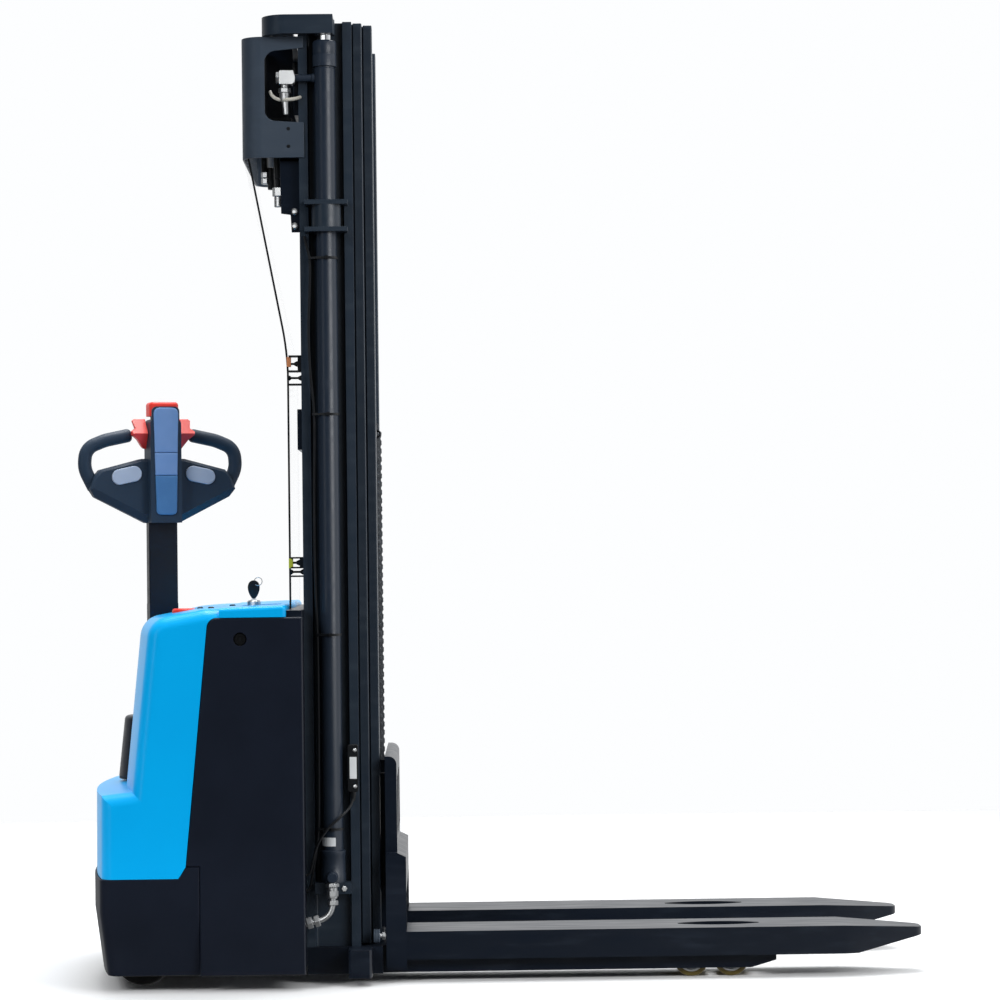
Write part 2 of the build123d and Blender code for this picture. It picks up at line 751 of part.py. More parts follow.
def rear_cover():
    """Blue moulded rear body: shell with shelf, holes for column and motor, sleeve for the stop switch."""
    outside = hood_form(0.0)
    sleeve_diameter = estop_base_diameter + 2 * cover_wall
    sleeve = post(estop_x, estop_y, estop_base_z - estop_seat_height, deck_z, sleeve_diameter) & outside
    shell = outside - hood_form(cover_wall) + sleeve
    panel_top_corner = (panel_lean_top_x - seam, panel_top_z + seam)
    region = [
        (deck_seam_x - seam, right_through), (deck_seam_x - seam, panel_top_z + seam), panel_top_corner,
        *seam_line(0.0), (-right_through, right_through),
    ]
    shell &= side_cut(region, -half_width, half_width, panel_corner + seam, [panel_top_corner])
    column_hole = post(steer_x, 0, niche_top_z - 20.0, saddle_z + 20.0, column_diameter + 2 * drum_clearance)
    motor_hole = post(steer_x, 0, shelf_z - 40.0, shelf_z + 1.0, motor_diameter + 2 * drum_clearance)
    stop_hole = post(estop_x, estop_y, shelf_z, right_through, estop_base_diameter + 2 * running_gap)
    return shell - column_hole - motor_hole - stop_hole


def bow_outline(inset, z):
    """Plan of the rear end at a height, drawn in by an inset: bowed end, rounded corners, straight sides."""
    wide = half_width - inset
    corner_x = rear_x + bow_radius - sqrt((bow_radius - inset) ** 2 - wide ** 2)
    front = rear_x + cover_reach
    sides = Polyline((corner_x, wide, z), (front, wide, z), (front, -wide, z), (corner_x, -wide, z))
    end = ThreePointArc((corner_x, -wide, z), (rear_x + inset, 0, z), (corner_x, wide, z))
    face = make_face(sides.edges() + end.edges())
    corners = [v for v in face.vertices() if abs(v.X - corner_x) < 0.01]
    return fillet(corners, corner_radius)


def bumper():
    """Black skirt round the rear wheels, open below, its foot drawn in."""
    wall = cover_wall
    foot = floor_gap
    top = 2 * bumper_seam_z
    outer = loft([bow_outline(0.0, bumper_bend_z), bow_outline(0.0, top)], ruled=True)
    outer += loft([bow_outline(bumper_tuck, foot), bow_outline(0.0, bumper_bend_z)], ruled=True)
    inner = loft([bow_outline(wall, bumper_bend_z), bow_outline(wall, top)], ruled=True)
    inner += loft([bow_outline(bumper_tuck + wall, foot), bow_outline(wall, bumper_bend_z)], ruled=True)
    shell = outer - inner
    front_x = panel_step_x - seam
    line = seam_line(seam)
    region = [(-right_through, 0.0), (front_x, 0.0), (front_x, line[0][1]), *line]
    return shell & side_cut(region, -half_width, half_width)


def side_panel():
    """Left side panel with its leaning rear edge and the lock's hole."""
    step_z = bumper_seam_z + bumper_tab_rise
    outline = [
        (panel_step_x, floor_gap), (panel_front_x, floor_gap), (panel_front_x, panel_top_z),
        (panel_lean_top_x, panel_top_z), (panel_lean_foot_x, step_z), (panel_step_x, step_z),
    ]
    panel = side_cut(outline, panel_y, half_width, panel_corner, [(panel_lean_top_x, panel_top_z)])
    outer_edges = panel.faces().sort_by(Axis.Y)[-1].edges()
    panel = chamfer(outer_edges, 2.5)
    return panel - bar(lock_x, panel_y, half_width, lock_z, lock_diameter)


def deck_cover():
    """Blue lid over the battery: a shallow tray turned over, with the console recess by the key."""
    z0 = panel_top_z + seam
    low_z = deck_z - deck_fall
    outline = [(deck_seam_x, z0), (deck_front_x, z0), (deck_front_x, deck_z), (deck_seam_x, low_z)]
    lid = side_cut(outline, -half_width, half_width, 10.0, [(deck_front_x, deck_z)])
    top_edges = [
        e for e in lid.edges() if abs(abs(e.center().Y) - half_width) < 0.01 and e.center().Z > low_z - 1.0
    ]
    lid = fillet(top_edges, 9.0)
    wall = cover_wall
    inside = half_width - wall - 7.0
    lid -= slab(deck_seam_x, deck_front_x - wall, -inside, inside, z0, low_z - wall)
    recess = slab(key_x - 26.0, key_x + 62.0, key_y - 42.0, key_y + 42.0, deck_z - 6.0, deck_z + 20.0)
    lid -= fillet(recess.edges().filter_by(Axis.Z), 14.0)
    return lid - post(key_x, key_y, 0, right_through, key_barrel_diameter + 2 * running_gap)


def chassis_frame():
    """Welded frame: mast sill with feet, front wall, battery floor, step wall, platform and slewing ring."""
    plate = platform_plate
    sill_front = inner_front_x + leg_start_gap
    sill = slab(mast_rear_x, sill_front, -mast_half_width, mast_half_width, leg_bottom_z, sill_top_z)
    sill -= slab(
        mast_rear_x + plate, sill_front - plate, -mast_half_width + plate, mast_half_width - plate,
        0, sill_top_z - plate,
    )
    frame = sill
    for side in (1, -1):
        y0, y1 = sorted((side * mast_half_width, side * (mast_half_width + 70.0)))
        foot = slab(mast_rear_x + 93.0, mast_rear_x + 144.0, y0, y1, leg_bottom_z - 1.0, sill_top_z)
        frame += chamfer(foot.edges().filter_by(Axis.Z), 5.0)
    wall_x = mast_rear_x - tie_thickness
    ledge_z = panel_top_z + seam
    ledge_top_z = ledge_z + front_ledge_height
    frame += slab(wall_x, mast_rear_x, -panel_y, panel_y, leg_bottom_z + 20.0, ledge_top_z)
    frame += slab(deck_front_x + seam, wall_x, -panel_y, panel_y, ledge_z, ledge_top_z)
    step_x = step_wall_x
    floor_z = battery_floor_z
    frame += slab(step_x, wall_x, -panel_y, panel_y, floor_z, floor_z + plate)
    frame += slab(step_x, step_x + plate, -panel_y, panel_y, floor_z, platform_z + plate)
    platform_rear = rear_x + rear_bow + corner_radius
    inside = half_width - cover_wall
    platform_front = panel_step_x - seam
    frame += slab(platform_rear, platform_front, -inside, inside, platform_z, platform_z + plate)
    frame += slab(platform_front, step_x, -panel_y, panel_y, platform_z, platform_z + plate)
    for side in (1, -1):
        frame += slab(
            castor_x - 45.0, castor_x + 45.0, side * castor_y - 45.0, side * castor_y + 45.0,
            castor_mount_z, platform_z,
        )
        frame -= post(castor_x, side * castor_y, 0, castor_mount_z + castor_stud_length, castor_stud + 0.1)
    ring_z = platform_z + plate
    frame += post(steer_x, 0, ring_z, ring_z + bearing_height, bearing_diameter)
    return frame - post(steer_x, 0, 0, ring_z + bearing_height, bearing_bore)


def battery():
    """Battery block on the floor beside the pump unit."""
    floor_z = battery_floor_z + platform_plate
    front = mast_rear_x - tie_thickness - 4.0
    block = slab(front - battery_length, front, -90.0, panel_y - 14.0, floor_z, floor_z + battery_height)
    return chamfer(block.edges().filter_by(Axis.Z), 6.0)


def power_pack():
    """Pump unit: oil tank with the electric motor standing on it."""
    floor_z = battery_floor_z + platform_plate
    tank_top = floor_z + tank_height
    front = mast_rear_x - tie_thickness - 8.0
    tank = slab(front - tank_length, front, -panel_y + 20.0, -120.0, floor_z, tank_top)
    tank = fillet(tank.edges().filter_by(Axis.Z), 18.0)
    x_mid = front - tank_length / 2
    motor = post(x_mid, -250.0, tank_top, tank_top + pump_motor_height, pump_motor_diameter)
    return tank + fillet(motor.edges().group_by(Axis.Z)[-1], 8.0)


def drive_unit():
    """Gearbox beside the wheel, its neck in the slewing ring, the motor on it and the drum's foot ring."""
    bearing_top = platform_z + platform_plate + bearing_height
    axle_z = drive_wheel_diameter / 2
    cheek0 = drive_wheel_width / 2 + 4.0
    cheek1 = cheek0 + 42.0
    neck_diameter = bearing_bore - 2 * running_gap
    neck_z0 = drive_wheel_diameter + 4.0
    neck = post(0, 0, neck_z0, bearing_top, neck_diameter)
    flange = post(0, 0, bearing_top, bearing_top + 14.0, bearing_bore + 30.0)
    motor = post(0, 0, bearing_top + 14.0, drum_foot_z - ring_height, motor_diameter)
    cheek = slab(cheek0, cheek1, -62.0, 62.0, axle_z, neck_z0)
    cheek += Pos((cheek0 + cheek1) / 2, 0, axle_z) * Rot(0, 90, 0) * Cylinder(62.0, cheek1 - cheek0)
    axle = Pos((cheek1 - drive_wheel_width / 2) / 2, 0, axle_z) * Rot(0, 90, 0) * Cylinder(
        drive_axle_diameter / 2, cheek1 + drive_wheel_width / 2
    )
    foot_ring = post(0, 0, drum_foot_z - ring_height, drum_foot_z, 2 * drum_foot_radius - 1.0)
    return turned * (neck + flange + motor + foot_ring + cheek + axle)


def drive_wheel():
    """Drive wheel: rubber tyre on a dished hub, bored for the gearbox shaft."""
    half = drive_wheel_width / 2
    radius = drive_wheel_diameter / 2
    bore = drive_axle_diameter / 2 + 0.05
    right = [
        (half, bore), (half, radius - 45.0), (half - 12.0, radius - 40.0), (half - 12.0, radius - 28.0),
        (half, radius - 22.0), (half, radius - 6.0), (half - 6.0, radius),
    ]
    section = make_face(Polyline(*right, *[(-x, r) for x, r in reversed(right)], close=True))
    wheel = revolve(section, Axis.X)
    return turned * Pos(0, 0, radius) * wheel


def turret():
    """Turret drum over the motor, with the tiller's column, its lug and the tilt pin."""
    foot, top, height = drum_foot_radius, drum_top_radius, drum_top_z - drum_foot_z
    drum = Pos(0, 0, drum_foot_z + height / 2) * Cone(foot, top, height)
    drum = fillet(drum.edges().group_by(Axis.Z)[-1], 10.0)
    drum -= Pos(0, 0, drum_foot_z + height / 2 - 4.0) * Cone(foot - 6.0, top - 6.0, height - 8.0)
    column = post(0, 0, drum_top_z - 8.0, column_top_z, column_diameter)
    lug_radius = 22.0
    lug_half = arm_width / 2 - lug_cheek - 0.6
    lug = slab(-lug_half, lug_half, -lug_radius, lug_radius, column_top_z, tilt_axis_z)
    lug += across(-lug_half, lug_half, 0, tilt_axis_z, 2 * lug_radius)
    pin = across(-arm_width / 2 - 3.0, arm_width / 2 + 3.0, 0, tilt_axis_z, tilt_pin_diameter)
    return turned * (drum + column + lug + pin)


def across(u0, u1, v, z, diameter):
    """Round bar along the tiller's width, in the tiller's own frame with its face towards -Y."""
    return Pos((u0 + u1) / 2, -v, z) * Rot(0, 90, 0) * Cylinder(diameter / 2, u1 - u0)


def tiller_arm():
    """Flat box arm whose foot is a clevis on the tilt pin."""
    half, deep = arm_width / 2, arm_depth / 2
    foot_radius = 26.0
    wall_z = tilt_axis_z + 34.0
    tube = slab(-half, half, -deep, deep, wall_z, head_bottom_z)
    tube = fillet(tube.edges().filter_by(Axis.Z), 3.0)
    wide, thick = half - arm_wall, deep - arm_wall
    tube -= slab(-wide, wide, -thick, thick, wall_z, head_bottom_z - 12.0)
    for u0 in (-half, half - lug_cheek):
        cheek = slab(u0, u0 + lug_cheek, -deep, deep, tilt_axis_z, wall_z + 30.0)
        tube += cheek + across(u0, u0 + lug_cheek, 0, tilt_axis_z, 2 * foot_radius)
    tube -= across(-half - 1.0, half + 1.0, 0, tilt_axis_z, tilt_pin_diameter + 0.1)
    return turned * tube


def wing_outline():
    """Front view of the head's two wings, from the neck out to the grips and back to the column."""
    left = [
        (-40.0, head_bottom_z), (-158.0, head_bottom_z + 60.0), (-170.0, head_bottom_z + 78.0),
        (-160.0, head_bottom_z + 106.0), (-146.0, head_bottom_z + 122.0), (-50.0, head_bottom_z + 147.0),
    ]
    return left + [(-u, z) for u, z in reversed(left)]


def head_form():
    """Tiller head in its own frame: face column with rounded top corners, wings and the two horns."""
    half = head_half_width
    column = side_cut(
        [(-half, head_bottom_z), (half, head_bottom_z), (half, head_top_z), (-half, head_top_z)],
        -head_face, head_back, 12.0, [(half, head_top_z), (-half, head_top_z)],
    )
    tongue_z = strip_top_z + strip_rim
    tongue_half = strip_width / 2 + strip_rim
    tongue = side_cut(
        [(-tongue_half, head_top_z - 20.0), (tongue_half, head_top_z - 20.0),
         (tongue_half, tongue_z), (-tongue_half, tongue_z)],
        -head_face, -head_face + 7.0, 12.0, [(tongue_half, tongue_z), (-tongue_half, tongue_z)],
    )
    wings = side_cut(wing_outline(), -wing_face, head_back - 3.0)
    edges = wings.faces().sort_by(Axis.Y)[0].edges()
    low = [e for e in edges if e.center().Z < head_bottom_z + 40.0 and abs(e.center().X) > half]
    wings = chamfer(low, wing_bevel)
    edges = wings.faces().sort_by(Axis.Y)[0].edges()
    wings = chamfer([e for e in edges if e.center().Z > head_bottom_z + 80.0], 6.0)
    inset = head_neck_inset
    neck = slab(
        -half + inset, half - inset, -head_face + 9.0 + inset, head_back - inset, head_top_z - 1.0,
        head_top_z + head_neck_height,
    )
    horn = grip()
    return column + tongue + neck + wings + horn + mirror(horn, about=Plane.YZ)


def tiller_head():
    """Head housing with the pockets for its buttons and the throttle's shaft bore."""
    head = head_form()
    head -= across(-100.0, 100.0, throttle_v, throttle_z, throttle_shaft_diameter + 0.1)
    for side in (1, -1):
        head -= thumb_form(side, thumb_gap, wing_face - thumb_depth, wing_face + 20.0)
    pocket_top = head_top_z + head_neck_height
    head -= Pos(0, -belly_v, 0) * post(0, 0, head_top_z - 30.0, pocket_top, belly_stem + 0.1)
    return turned * head


def thumb_form(side, grow, v0, v1):
    """Slanted long-round button outline on a wing, from depth v0 to v1, grown all round by a gap."""
    face = SlotOverall(thumb_length + 2 * grow, thumb_height + 2 * grow)
    place = Pos(side * thumb_u, -v0, thumb_z) * Rot(90, 0, 0) * Rot(0, 0, -side * thumb_slant)
    return extrude(place * face, v1 - v0, dir=(0, -1, 0))


def thumb_button(side):
    """Lift or lower button on a wing."""
    button = thumb_form(side, 0.0, wing_face - thumb_depth + thumb_travel + 1.0, wing_face + 4.0)
    front = button.faces().sort_by(Axis.Y)[0]
    return turned * fillet(front.edges(), 2.5)


def head_strip():
    """Grey cover strip down the head's face, with two joint lines."""
    z0 = head_bottom_z + 18.0
    top, foot = strip_width / 2, strip_width / 2 - 5.0
    strip = side_cut(
        [(-foot, z0), (foot, z0), (top, strip_top_z), (-top, strip_top_z)],
        -head_face - strip_thickness, -head_face, 9.0,
        [(top, strip_top_z), (-top, strip_top_z), (foot, z0), (-foot, z0)],
    )
    strip = fillet(strip.faces().sort_by(Axis.Y)[0].edges(), 2.0)
    for z in (head_bottom_z + 163.0, head_bottom_z + 108.0):
        face = -head_face - strip_thickness
        strip -= slab(-top, top, face, face + 1.5, z - 0.7, z + 0.7)
    return turned * strip


def grip():
    """Left horn of the handle in the tiller's own frame: a round bar from the wing to its free end."""
    points = [(-156.0, 82.0), (-178.0, 126.0), (-174.0, 172.0), (-130.0, 190.0), (-68.0, 203.0)]
    route = [(u, grip_back, head_bottom_z + z) for u, z in points]
    path = FilletPolyline(*route, radius=[60.0, 36.0, 100.0])
    section = Plane(origin=path @ 0, z_dir=path % 0) * Circle(grip_diameter / 2)
    horn = sweep(section, path)
    return fillet(horn.edges().sort_by(Axis.X)[-1], grip_diameter * 0.32)


def throttle():
    """Butterfly: two thumb paddles on one shaft through the head."""
    reach = head_half_width + 1.5
    shaft = across(-reach - 6.0, reach + 6.0, throttle_v, throttle_z, throttle_shaft_diameter)
    bend = [(14.0, 0.0), (-17.0, 34.0), (-27.0, 30.0), (-8.0, 0.0), (-18.0, -30.0), (-8.0, -36.0)]
    section = make_face(Polyline(*[(0, -throttle_v - v, throttle_z + z) for v, z in bend], close=True))
    levers = extrude(section, 2 * reach, dir=(1, 0, 0)) + extrude(section, 2 * reach, dir=(-1, 0, 0))
    for side in (1, -1):
        outline = [
            (0.0, 36.0), (24.0, 36.0), (30.0, 30.0), (26.0, 12.0), (35.0, 5.0), (35.0, -3.0),
            (22.0, -14.0), (8.0, -34.0), (0.0, -36.0),
        ]
        paddle = [(side * (reach + u), throttle_z + z) for u, z in outline]
        shaft += levers & side_cut(paddle, -head_face, head_back)
    return turned * shaft


def belly_button():
    """Red safety cap on the head's end, pushed against the operator's body."""
    z0 = head_top_z + belly_travel + 0.5
    half = head_half_width - 2.0
    cap = slab(-half, half, -head_face + 9.0, head_back - 2.0, z0, belly_top_z)
    cap = fillet(cap.edges().filter_by(Axis.Z), 12.0)
    cap = fillet(cap.edges().group_by(Axis.Z)[-1], 8.0)
    wall = belly_wall
    roof_z = belly_top_z - belly_roof
    cap -= slab(-half + wall, half - wall, -head_face + 9.0 + wall, head_back - 2.0 - wall, z0, roof_z)
    stem = Pos(0, -belly_v, 0) * post(0, 0, head_top_z - belly_stem_depth, roof_z, belly_stem)
    return turned * (cap + stem)


def castor_yoke(side):
    """Swivel fork: turning head under the mount, bent cheeks that trail, and the wheel's axle."""
    y = side * castor_y
    top = castor_mount_z - castor_head_gap
    radius = castor_diameter / 2
    inner = castor_width / 2 + 3.0
    outer = inner + castor_fork_plate
    head = post(castor_x, y, top - 22.0, top, 76.0)
    crown_z = top - 22.0
    x0, x1 = castor_wheel_x - 26.0, castor_x + 32.0
    crown = slab(x0, x1, y - outer, y + outer, crown_z - castor_fork_plate, crown_z)
    yoke = head + crown
    low_z = radius - 12.0
    low_rear, low_front = castor_wheel_x - 17.0, castor_wheel_x + 17.0
    for y0 in (y - outer, y + inner):
        yoke += side_cut(
            [(x0, crown_z), (x1, crown_z), (low_front, low_z), (low_rear, low_z)],
            y0, y0 + castor_fork_plate, 12.0, [(low_front, low_z), (low_rear, low_z)],
        )
    stud = post(castor_x, y, top, castor_mount_z + castor_stud_length - 1.0, castor_stud)
    return yoke + stud + bar(castor_wheel_x, y - outer - 3.0, y + outer + 3.0, radius, castor_axle_diameter)


def castor_wheel(side):
    """Castor wheel with a crowned tread."""
    half = castor_width / 2
    radius = castor_diameter / 2
    bore = castor_axle_diameter / 2 + 0.05
    right = [
        (half, bore), (half, radius - 30.0), (half - 6.0, radius - 27.0), (half - 6.0, radius - 18.0),
        (half, radius - 14.0), (half - 3.0, radius - 4.0), (half - 12.0, radius),
    ]
    section = make_face(Polyline(*right, *[(-x, r) for x, r in reversed(right)], close=True))
    return Pos(castor_wheel_x, side * castor_y, radius) * Rot(0, 0, 90) * revolve(section, Axis.X)


def estop_base():
    """Stop switch body under the cover with its round seat."""
    seat_z = estop_base_z - estop_seat_height
    seat = post(estop_x, estop_y, seat_z, estop_base_z, estop_base_diameter)
    body = post(estop_x, estop_y, estop_base_z - estop_body_depth, seat_z, estop_body_diameter)
    return seat + body - post(estop_x, estop_y, estop_base_z - 30.0, estop_base_z, estop_stem_diameter + 0.1)


def estop_button():
    """Red mushroom head on its stem."""
    z0 = estop_base_z + estop_travel + 0.8
    cap = post(estop_x, estop_y, z0, z0 + estop_height, estop_diameter)
    cap = fillet(cap.edges().group_by(Axis.Z)[-1], 6.0)
    return cap + post(estop_x, estop_y, estop_base_z - 22.0, z0, estop_stem_diameter)


def key_switch():
    """Key switch barrel through the lid, slotted for the key."""
    top = deck_z + key_proud
    barrel = post(key_x, key_y, deck_z - 48.0, top, key_barrel_diameter)
    barrel = chamfer(barrel.edges().group_by(Axis.Z)[-1], 3.0)
    nut = post(key_x, key_y, deck_z - 22.0, deck_z - 14.0, key_barrel_diameter + 12.0)
    return barrel + nut - post(key_x, key_y, top - 20.0, top, key_plug + 0.1)


def key():
    """Key with a round bow, turning in the switch."""
    top = deck_z + key_proud
    plug = post(key_x, key_y, top - 18.0, top + 1.0, key_plug)
    neck = slab(key_x - 7.0, key_x + 7.0, key_y - 3.0, key_y + 3.0, top + 1.0, top + 18.0)
    bow = Pos(key_x, key_y, top + 28.0) * Rot(90, 0, 0) * Cylinder(16.0, 9.0)
    hole = Pos(key_x, key_y, top + 35.0) * Rot(90, 0, 0) * Cylinder(4.0, 20.0)
    return plug + neck + fillet(bow.edges().filter_by(GeomType.CIRCLE), 2.5) - hole


def hose_guard():
    """Bent plate round the hoses behind the mast's top: a U in plan with a window in its right side."""
    rear, front = guard_rear_x, mast_rear_x + 12.0
    out = mast_half_width + guard_plate
    loop = plan_cut(
        [(rear, -out), (front, -out), (front, out), (rear, out)], guard_bottom_z, guard_top_z,
        guard_corner, [(rear, -out), (rear, out)],
    )
    inner = mast_half_width
    face = rear + guard_plate
    loop -= plan_cut(
        [(face, -inner), (front + 1.0, -inner), (front + 1.0, inner), (face, inner)],
        guard_bottom_z, guard_top_z, guard_corner - guard_plate, [(face, -inner), (face, inner)],
    )
    window = side_cut(
        [(rear + 52.0, guard_bottom_z + 83.0), (mast_rear_x - 4.0, guard_bottom_z + 83.0),
         (mast_rear_x - 4.0, guard_top_z - 30.0), (rear + 52.0, guard_top_z - 30.0)],
        -out, 0.0, 22.0,
        [(rear + 52.0, guard_bottom_z + 83.0), (rear + 52.0, guard_top_z - 30.0)],
    )
    return loop - window


def screen():
    """Clear safety sheet behind the mast, from the lid up to the hose guard, bent where it leans back."""
    lap_x = guard_rear_x + guard_plate
    t = screen_thickness
    foot_z = panel_top_z + front_ledge_height + 2 * seam
    low_z, high_z = guard_bottom_z - 12.0, guard_bottom_z + 40.0
    return side_cut(
        [(screen_x, foot_z), (screen_x + t, foot_z), (screen_x + t, screen_bend_z), (lap_x + t, low_z),
         (lap_x + t, high_z), (lap_x, high_z), (lap_x, low_z), (screen_x, screen_bend_z)],
        -screen_half_width, screen_half_width,
    )


def screen_clip(side, z0, height):
    """Folded bracket that holds the screen off a fixed rail's rear flange."""
    t = 4.0
    x0, x1 = screen_x + screen_thickness, mast_rear_x
    y_mid = side * (screen_half_width - 2.0)
    outline = [
        (x0, z0), (x0 + t, z0), (x0 + t, z0 + height / 2 - t), (x1 - t, z0 + height / 2 - t),
        (x1 - t, z0), (x1, z0), (x1, z0 + height), (x1 - t, z0 + height), (x1 - t, z0 + height / 2 + t),
        (x0 + t, z0 + height / 2 + t), (x0 + t, z0 + height), (x0, z0 + height),
    ]
    return side_cut(outline, y_mid - 16.0, y_mid + 16.0)


def screen_clips():
    """The screen's four clips: tall ones below the bend, short ones near the lid."""
    clips = []
    for side in (1, -1):
        clips.append(screen_clip(side, screen_bend_z - 70.0, 66.0))
        clips.append(screen_clip(side, deck_z + 60.0, 44.0))
    return Part() + clips


def round_line(route, radii, diameter):
    """Round line along straight runs joined by arcs."""
    path = FilletPolyline(*route, radius=radii)
    section = Plane(origin=path @ 0, z_dir=path % 0) * Circle(diameter / 2)
    return sweep(section, path)


def supply_pipe():
    """Left steel elbow from the cylinder's port down to the front wall, with a nut at each end."""
    y = cylinder_y + barrel_base_diameter / 2 + pipe_offset
    z_port = barrel_foot_z + pipe_port_rise
    x_end = mast_rear_x
    pipe = round_line(
        [(cylinder_x, y, z_port), (cylinder_x, y, pipe_wall_z), (x_end, y, pipe_wall_z)],
        pipe_bend, pipe_diameter,
    )
    port = bar(cylinder_x, cylinder_y, y + 12.0, z_port, pipe_diameter + 8.0)
    port -= post(cylinder_x, cylinder_y, barrel_foot_z, z_port + 60.0, barrel_base_diameter)
    nut_high = Pos(cylinder_x, y, barrel_foot_z - 30.0) * extrude(RegularPolygon(pipe_nut, 6), 22.0)
    nut_low = Pos(x_end + 4.0, y, pipe_wall_z) * Rot(0, 90, 0) * extrude(RegularPolygon(pipe_nut, 6), 18.0)
    return pipe + port + nut_high + nut_low


def relief_fitting():
    """Bleed fitting at the right cylinder: pipe stub, block and stem with its nut."""
    y = -cylinder_y
    z = relief_z
    x_block = mast_rear_x - 26.0
    block = slab(x_block - 20.0, x_block + 20.0, y - 14.0, y + 14.0, z - 17.0, z + 17.0)
    block = chamfer(block.edges().filter_by(Axis.Y), 5.0)
    stub = Pos((x_block + cylinder_x) / 2, y, z) * Rot(0, 90, 0) * Cylinder(7.0, cylinder_x - x_block)
    stub -= post(cylinder_x, y, z - 20.0, z + 20.0, barrel_diameter)
    stem = post(x_block, y, z - 82.0, z - 17.0, 13.0)
    nut = Pos(x_block, y, z - 50.0) * extrude(RegularPolygon(12.5, 6), 16.0)
    return block + stub + stem + nut


def beside(x, y, z):
    """Point given from the right fixed rail's rear outer edge, forwards and outwards."""
    return (mast_rear_x + x, -mast_half_width - y, z)


def cables():
    """Two thin cables on the right, one down beside the barrel, one from the sensor past it."""
    foot, low = barrel_foot_z, sensor_foot_z
    down = [
        beside(10.5, 4.5, collar_z - 8.0), beside(13.5, 9.0, collar_z - 52.0),
        beside(24.5, 17.0, collar_z - 110.0),
        beside(24.5, 17.0, foot + 65.0), beside(13.5, 18.0, foot + 12.0), beside(9.0, 20.0, foot - 17.0),
        beside(0.0, 20.0, foot - 17.0),
    ]
    past = [
        beside(105.5, 10.0, low), beside(105.5, 10.0, low - 15.0), beside(98.5, 23.0, low - 35.0),
        beside(76.5, 42.0, low - 55.0), beside(48.5, 45.0, low - 78.0), beside(24.5, 40.0, low - 115.0),
        beside(14.5, 32.0, foot + 41.0), beside(9.0, 28.0, foot + 17.0), beside(0.0, 28.0, foot + 17.0),
    ]
    mast_cable = round_line(down, [60.0, 90.0, 90.0, 30.0, 10.0], cable_diameter)
    sensor_cable = round_line(past, [16.0, 22.0, 30.0, 34.0, 45.0, 30.0, 10.0], cable_diameter)
    return Part() + [mast_cable, sensor_cable]


def height_sensor():
    """Sensor block on the right fixed rail's front flange."""
    x1 = mast_rear_x + rail_depth
    y1 = -mast_half_width
    block = slab(x1 - 25.0, x1 - 2.0, y1 - 20.0, y1, sensor_foot_z, sensor_foot_z + sensor_height)
    return fillet(block.edges().filter_by(Axis.Y), 4.0)


left = {
    "outer_rail": outer_rail(),
    "lift_cylinder": lift_barrel(),
    "middle_rail": rail(1, sill_top_z + stage_foot_gap, rail_top_z),
    "inner_rail": rail(2, sill_top_z + stage_foot_gap, rail_top_z),
    "lift_rod": lift_rod(),
    "fork": fork(),
    "leg": leg(),
    "side_panel": side_panel(),
}
low_tie_z = sill_top_z + stage_foot_gap + tie_end_margin
high_tie_z = rail_top_z - tie_height - tie_end_margin
chain_front, chain_rear = lift_chain()
nodes = {
    "chassis_frame": chassis_frame(),
    "outer_ties": Part() + [outer_tie(outer_tie_low_z), outer_tie(outer_tie_high_z)],
    "middle_tie": stage_tie(1, low_tie_z),
    "inner_tie": stage_tie(2, high_tie_z),
    "crosshead": crosshead(),
    "free_lift_barrel": free_lift_barrel(),
    "free_lift_rod": free_lift_rod(),
    "chain_pulley": chain_pulley(),
    "chain_front": chain_front,
    "chain_rear": chain_rear,
    "carriage": carriage(),
    "rear_cover": rear_cover(),
    "deck_cover": deck_cover(),
    "bumper": bumper(),
    "battery": battery(),
    "power_pack": power_pack(),
    "drive_unit": drive_unit(),
    "drive_wheel": drive_wheel(),
    "turret": turret(),
    "tiller_arm": tiller_arm(),
    "tiller_head": tiller_head(),
    "head_strip": head_strip(),
    "throttle": throttle(),
    "belly_button": belly_button(),
    "thumb_button_left": thumb_button(-1),
    "thumb_button_right": thumb_button(1),
    "estop_base": estop_base(),
    "estop_button": estop_button(),
    "key_switch": key_switch(),
    "key": key(),
    "hose_guard": hose_guard(),
    "screen": screen(),
    "screen_clips": screen_clips(),
    "hydraulic_lines": Part() + [supply_pipe(), other_side(supply_pipe()), relief_fitting()],
    "height_sensor": height_sensor(),
    "cables": cables(),
}
for name, shape in left.items():
    nodes[name + "_left"] = shape
    nodes[name + "_right"] = other_side(shape)
for side_name, side in (("left", 1), ("right", -1)):
    nodes["castor_yoke_" + side_name] = castor_yoke(side)
    nodes["castor_wheel_" + side_name] = castor_wheel(side)
    for end_name, x in zip(("rear", "front"), roller_places()):
        nodes["load_roller_" + end_name + "_" + side_name] = load_roller(x, side)

os.makedirs("parts", exist_ok=True)
for name, shape in nodes.items():
    export_step(shape, "parts/" + name + ".step")
    print(name, "solids", len(shape.solids()), "volume", round(shape.volume))
print(len(nodes), "nodes")
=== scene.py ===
# %% [markdown]
# # An electric stacker in Blender
# The machine stands on the rollers of its legs and on its rear wheels: a blue moulded body with a steering
# tiller, a tall black mast, and two long forks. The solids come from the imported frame, already in place and
# in metres. This lesson dresses them: edges are softened, round pieces are turned afresh, and each surface
# gets its own finish. X points along the forks, Y to the machine's left and Z up. Sizes are in millimetres
# until `mm` makes them metres.

# %% Load the frame
import json
import math

import bmesh
import bpy
import numpy as np
from mathutils import Matrix, Vector

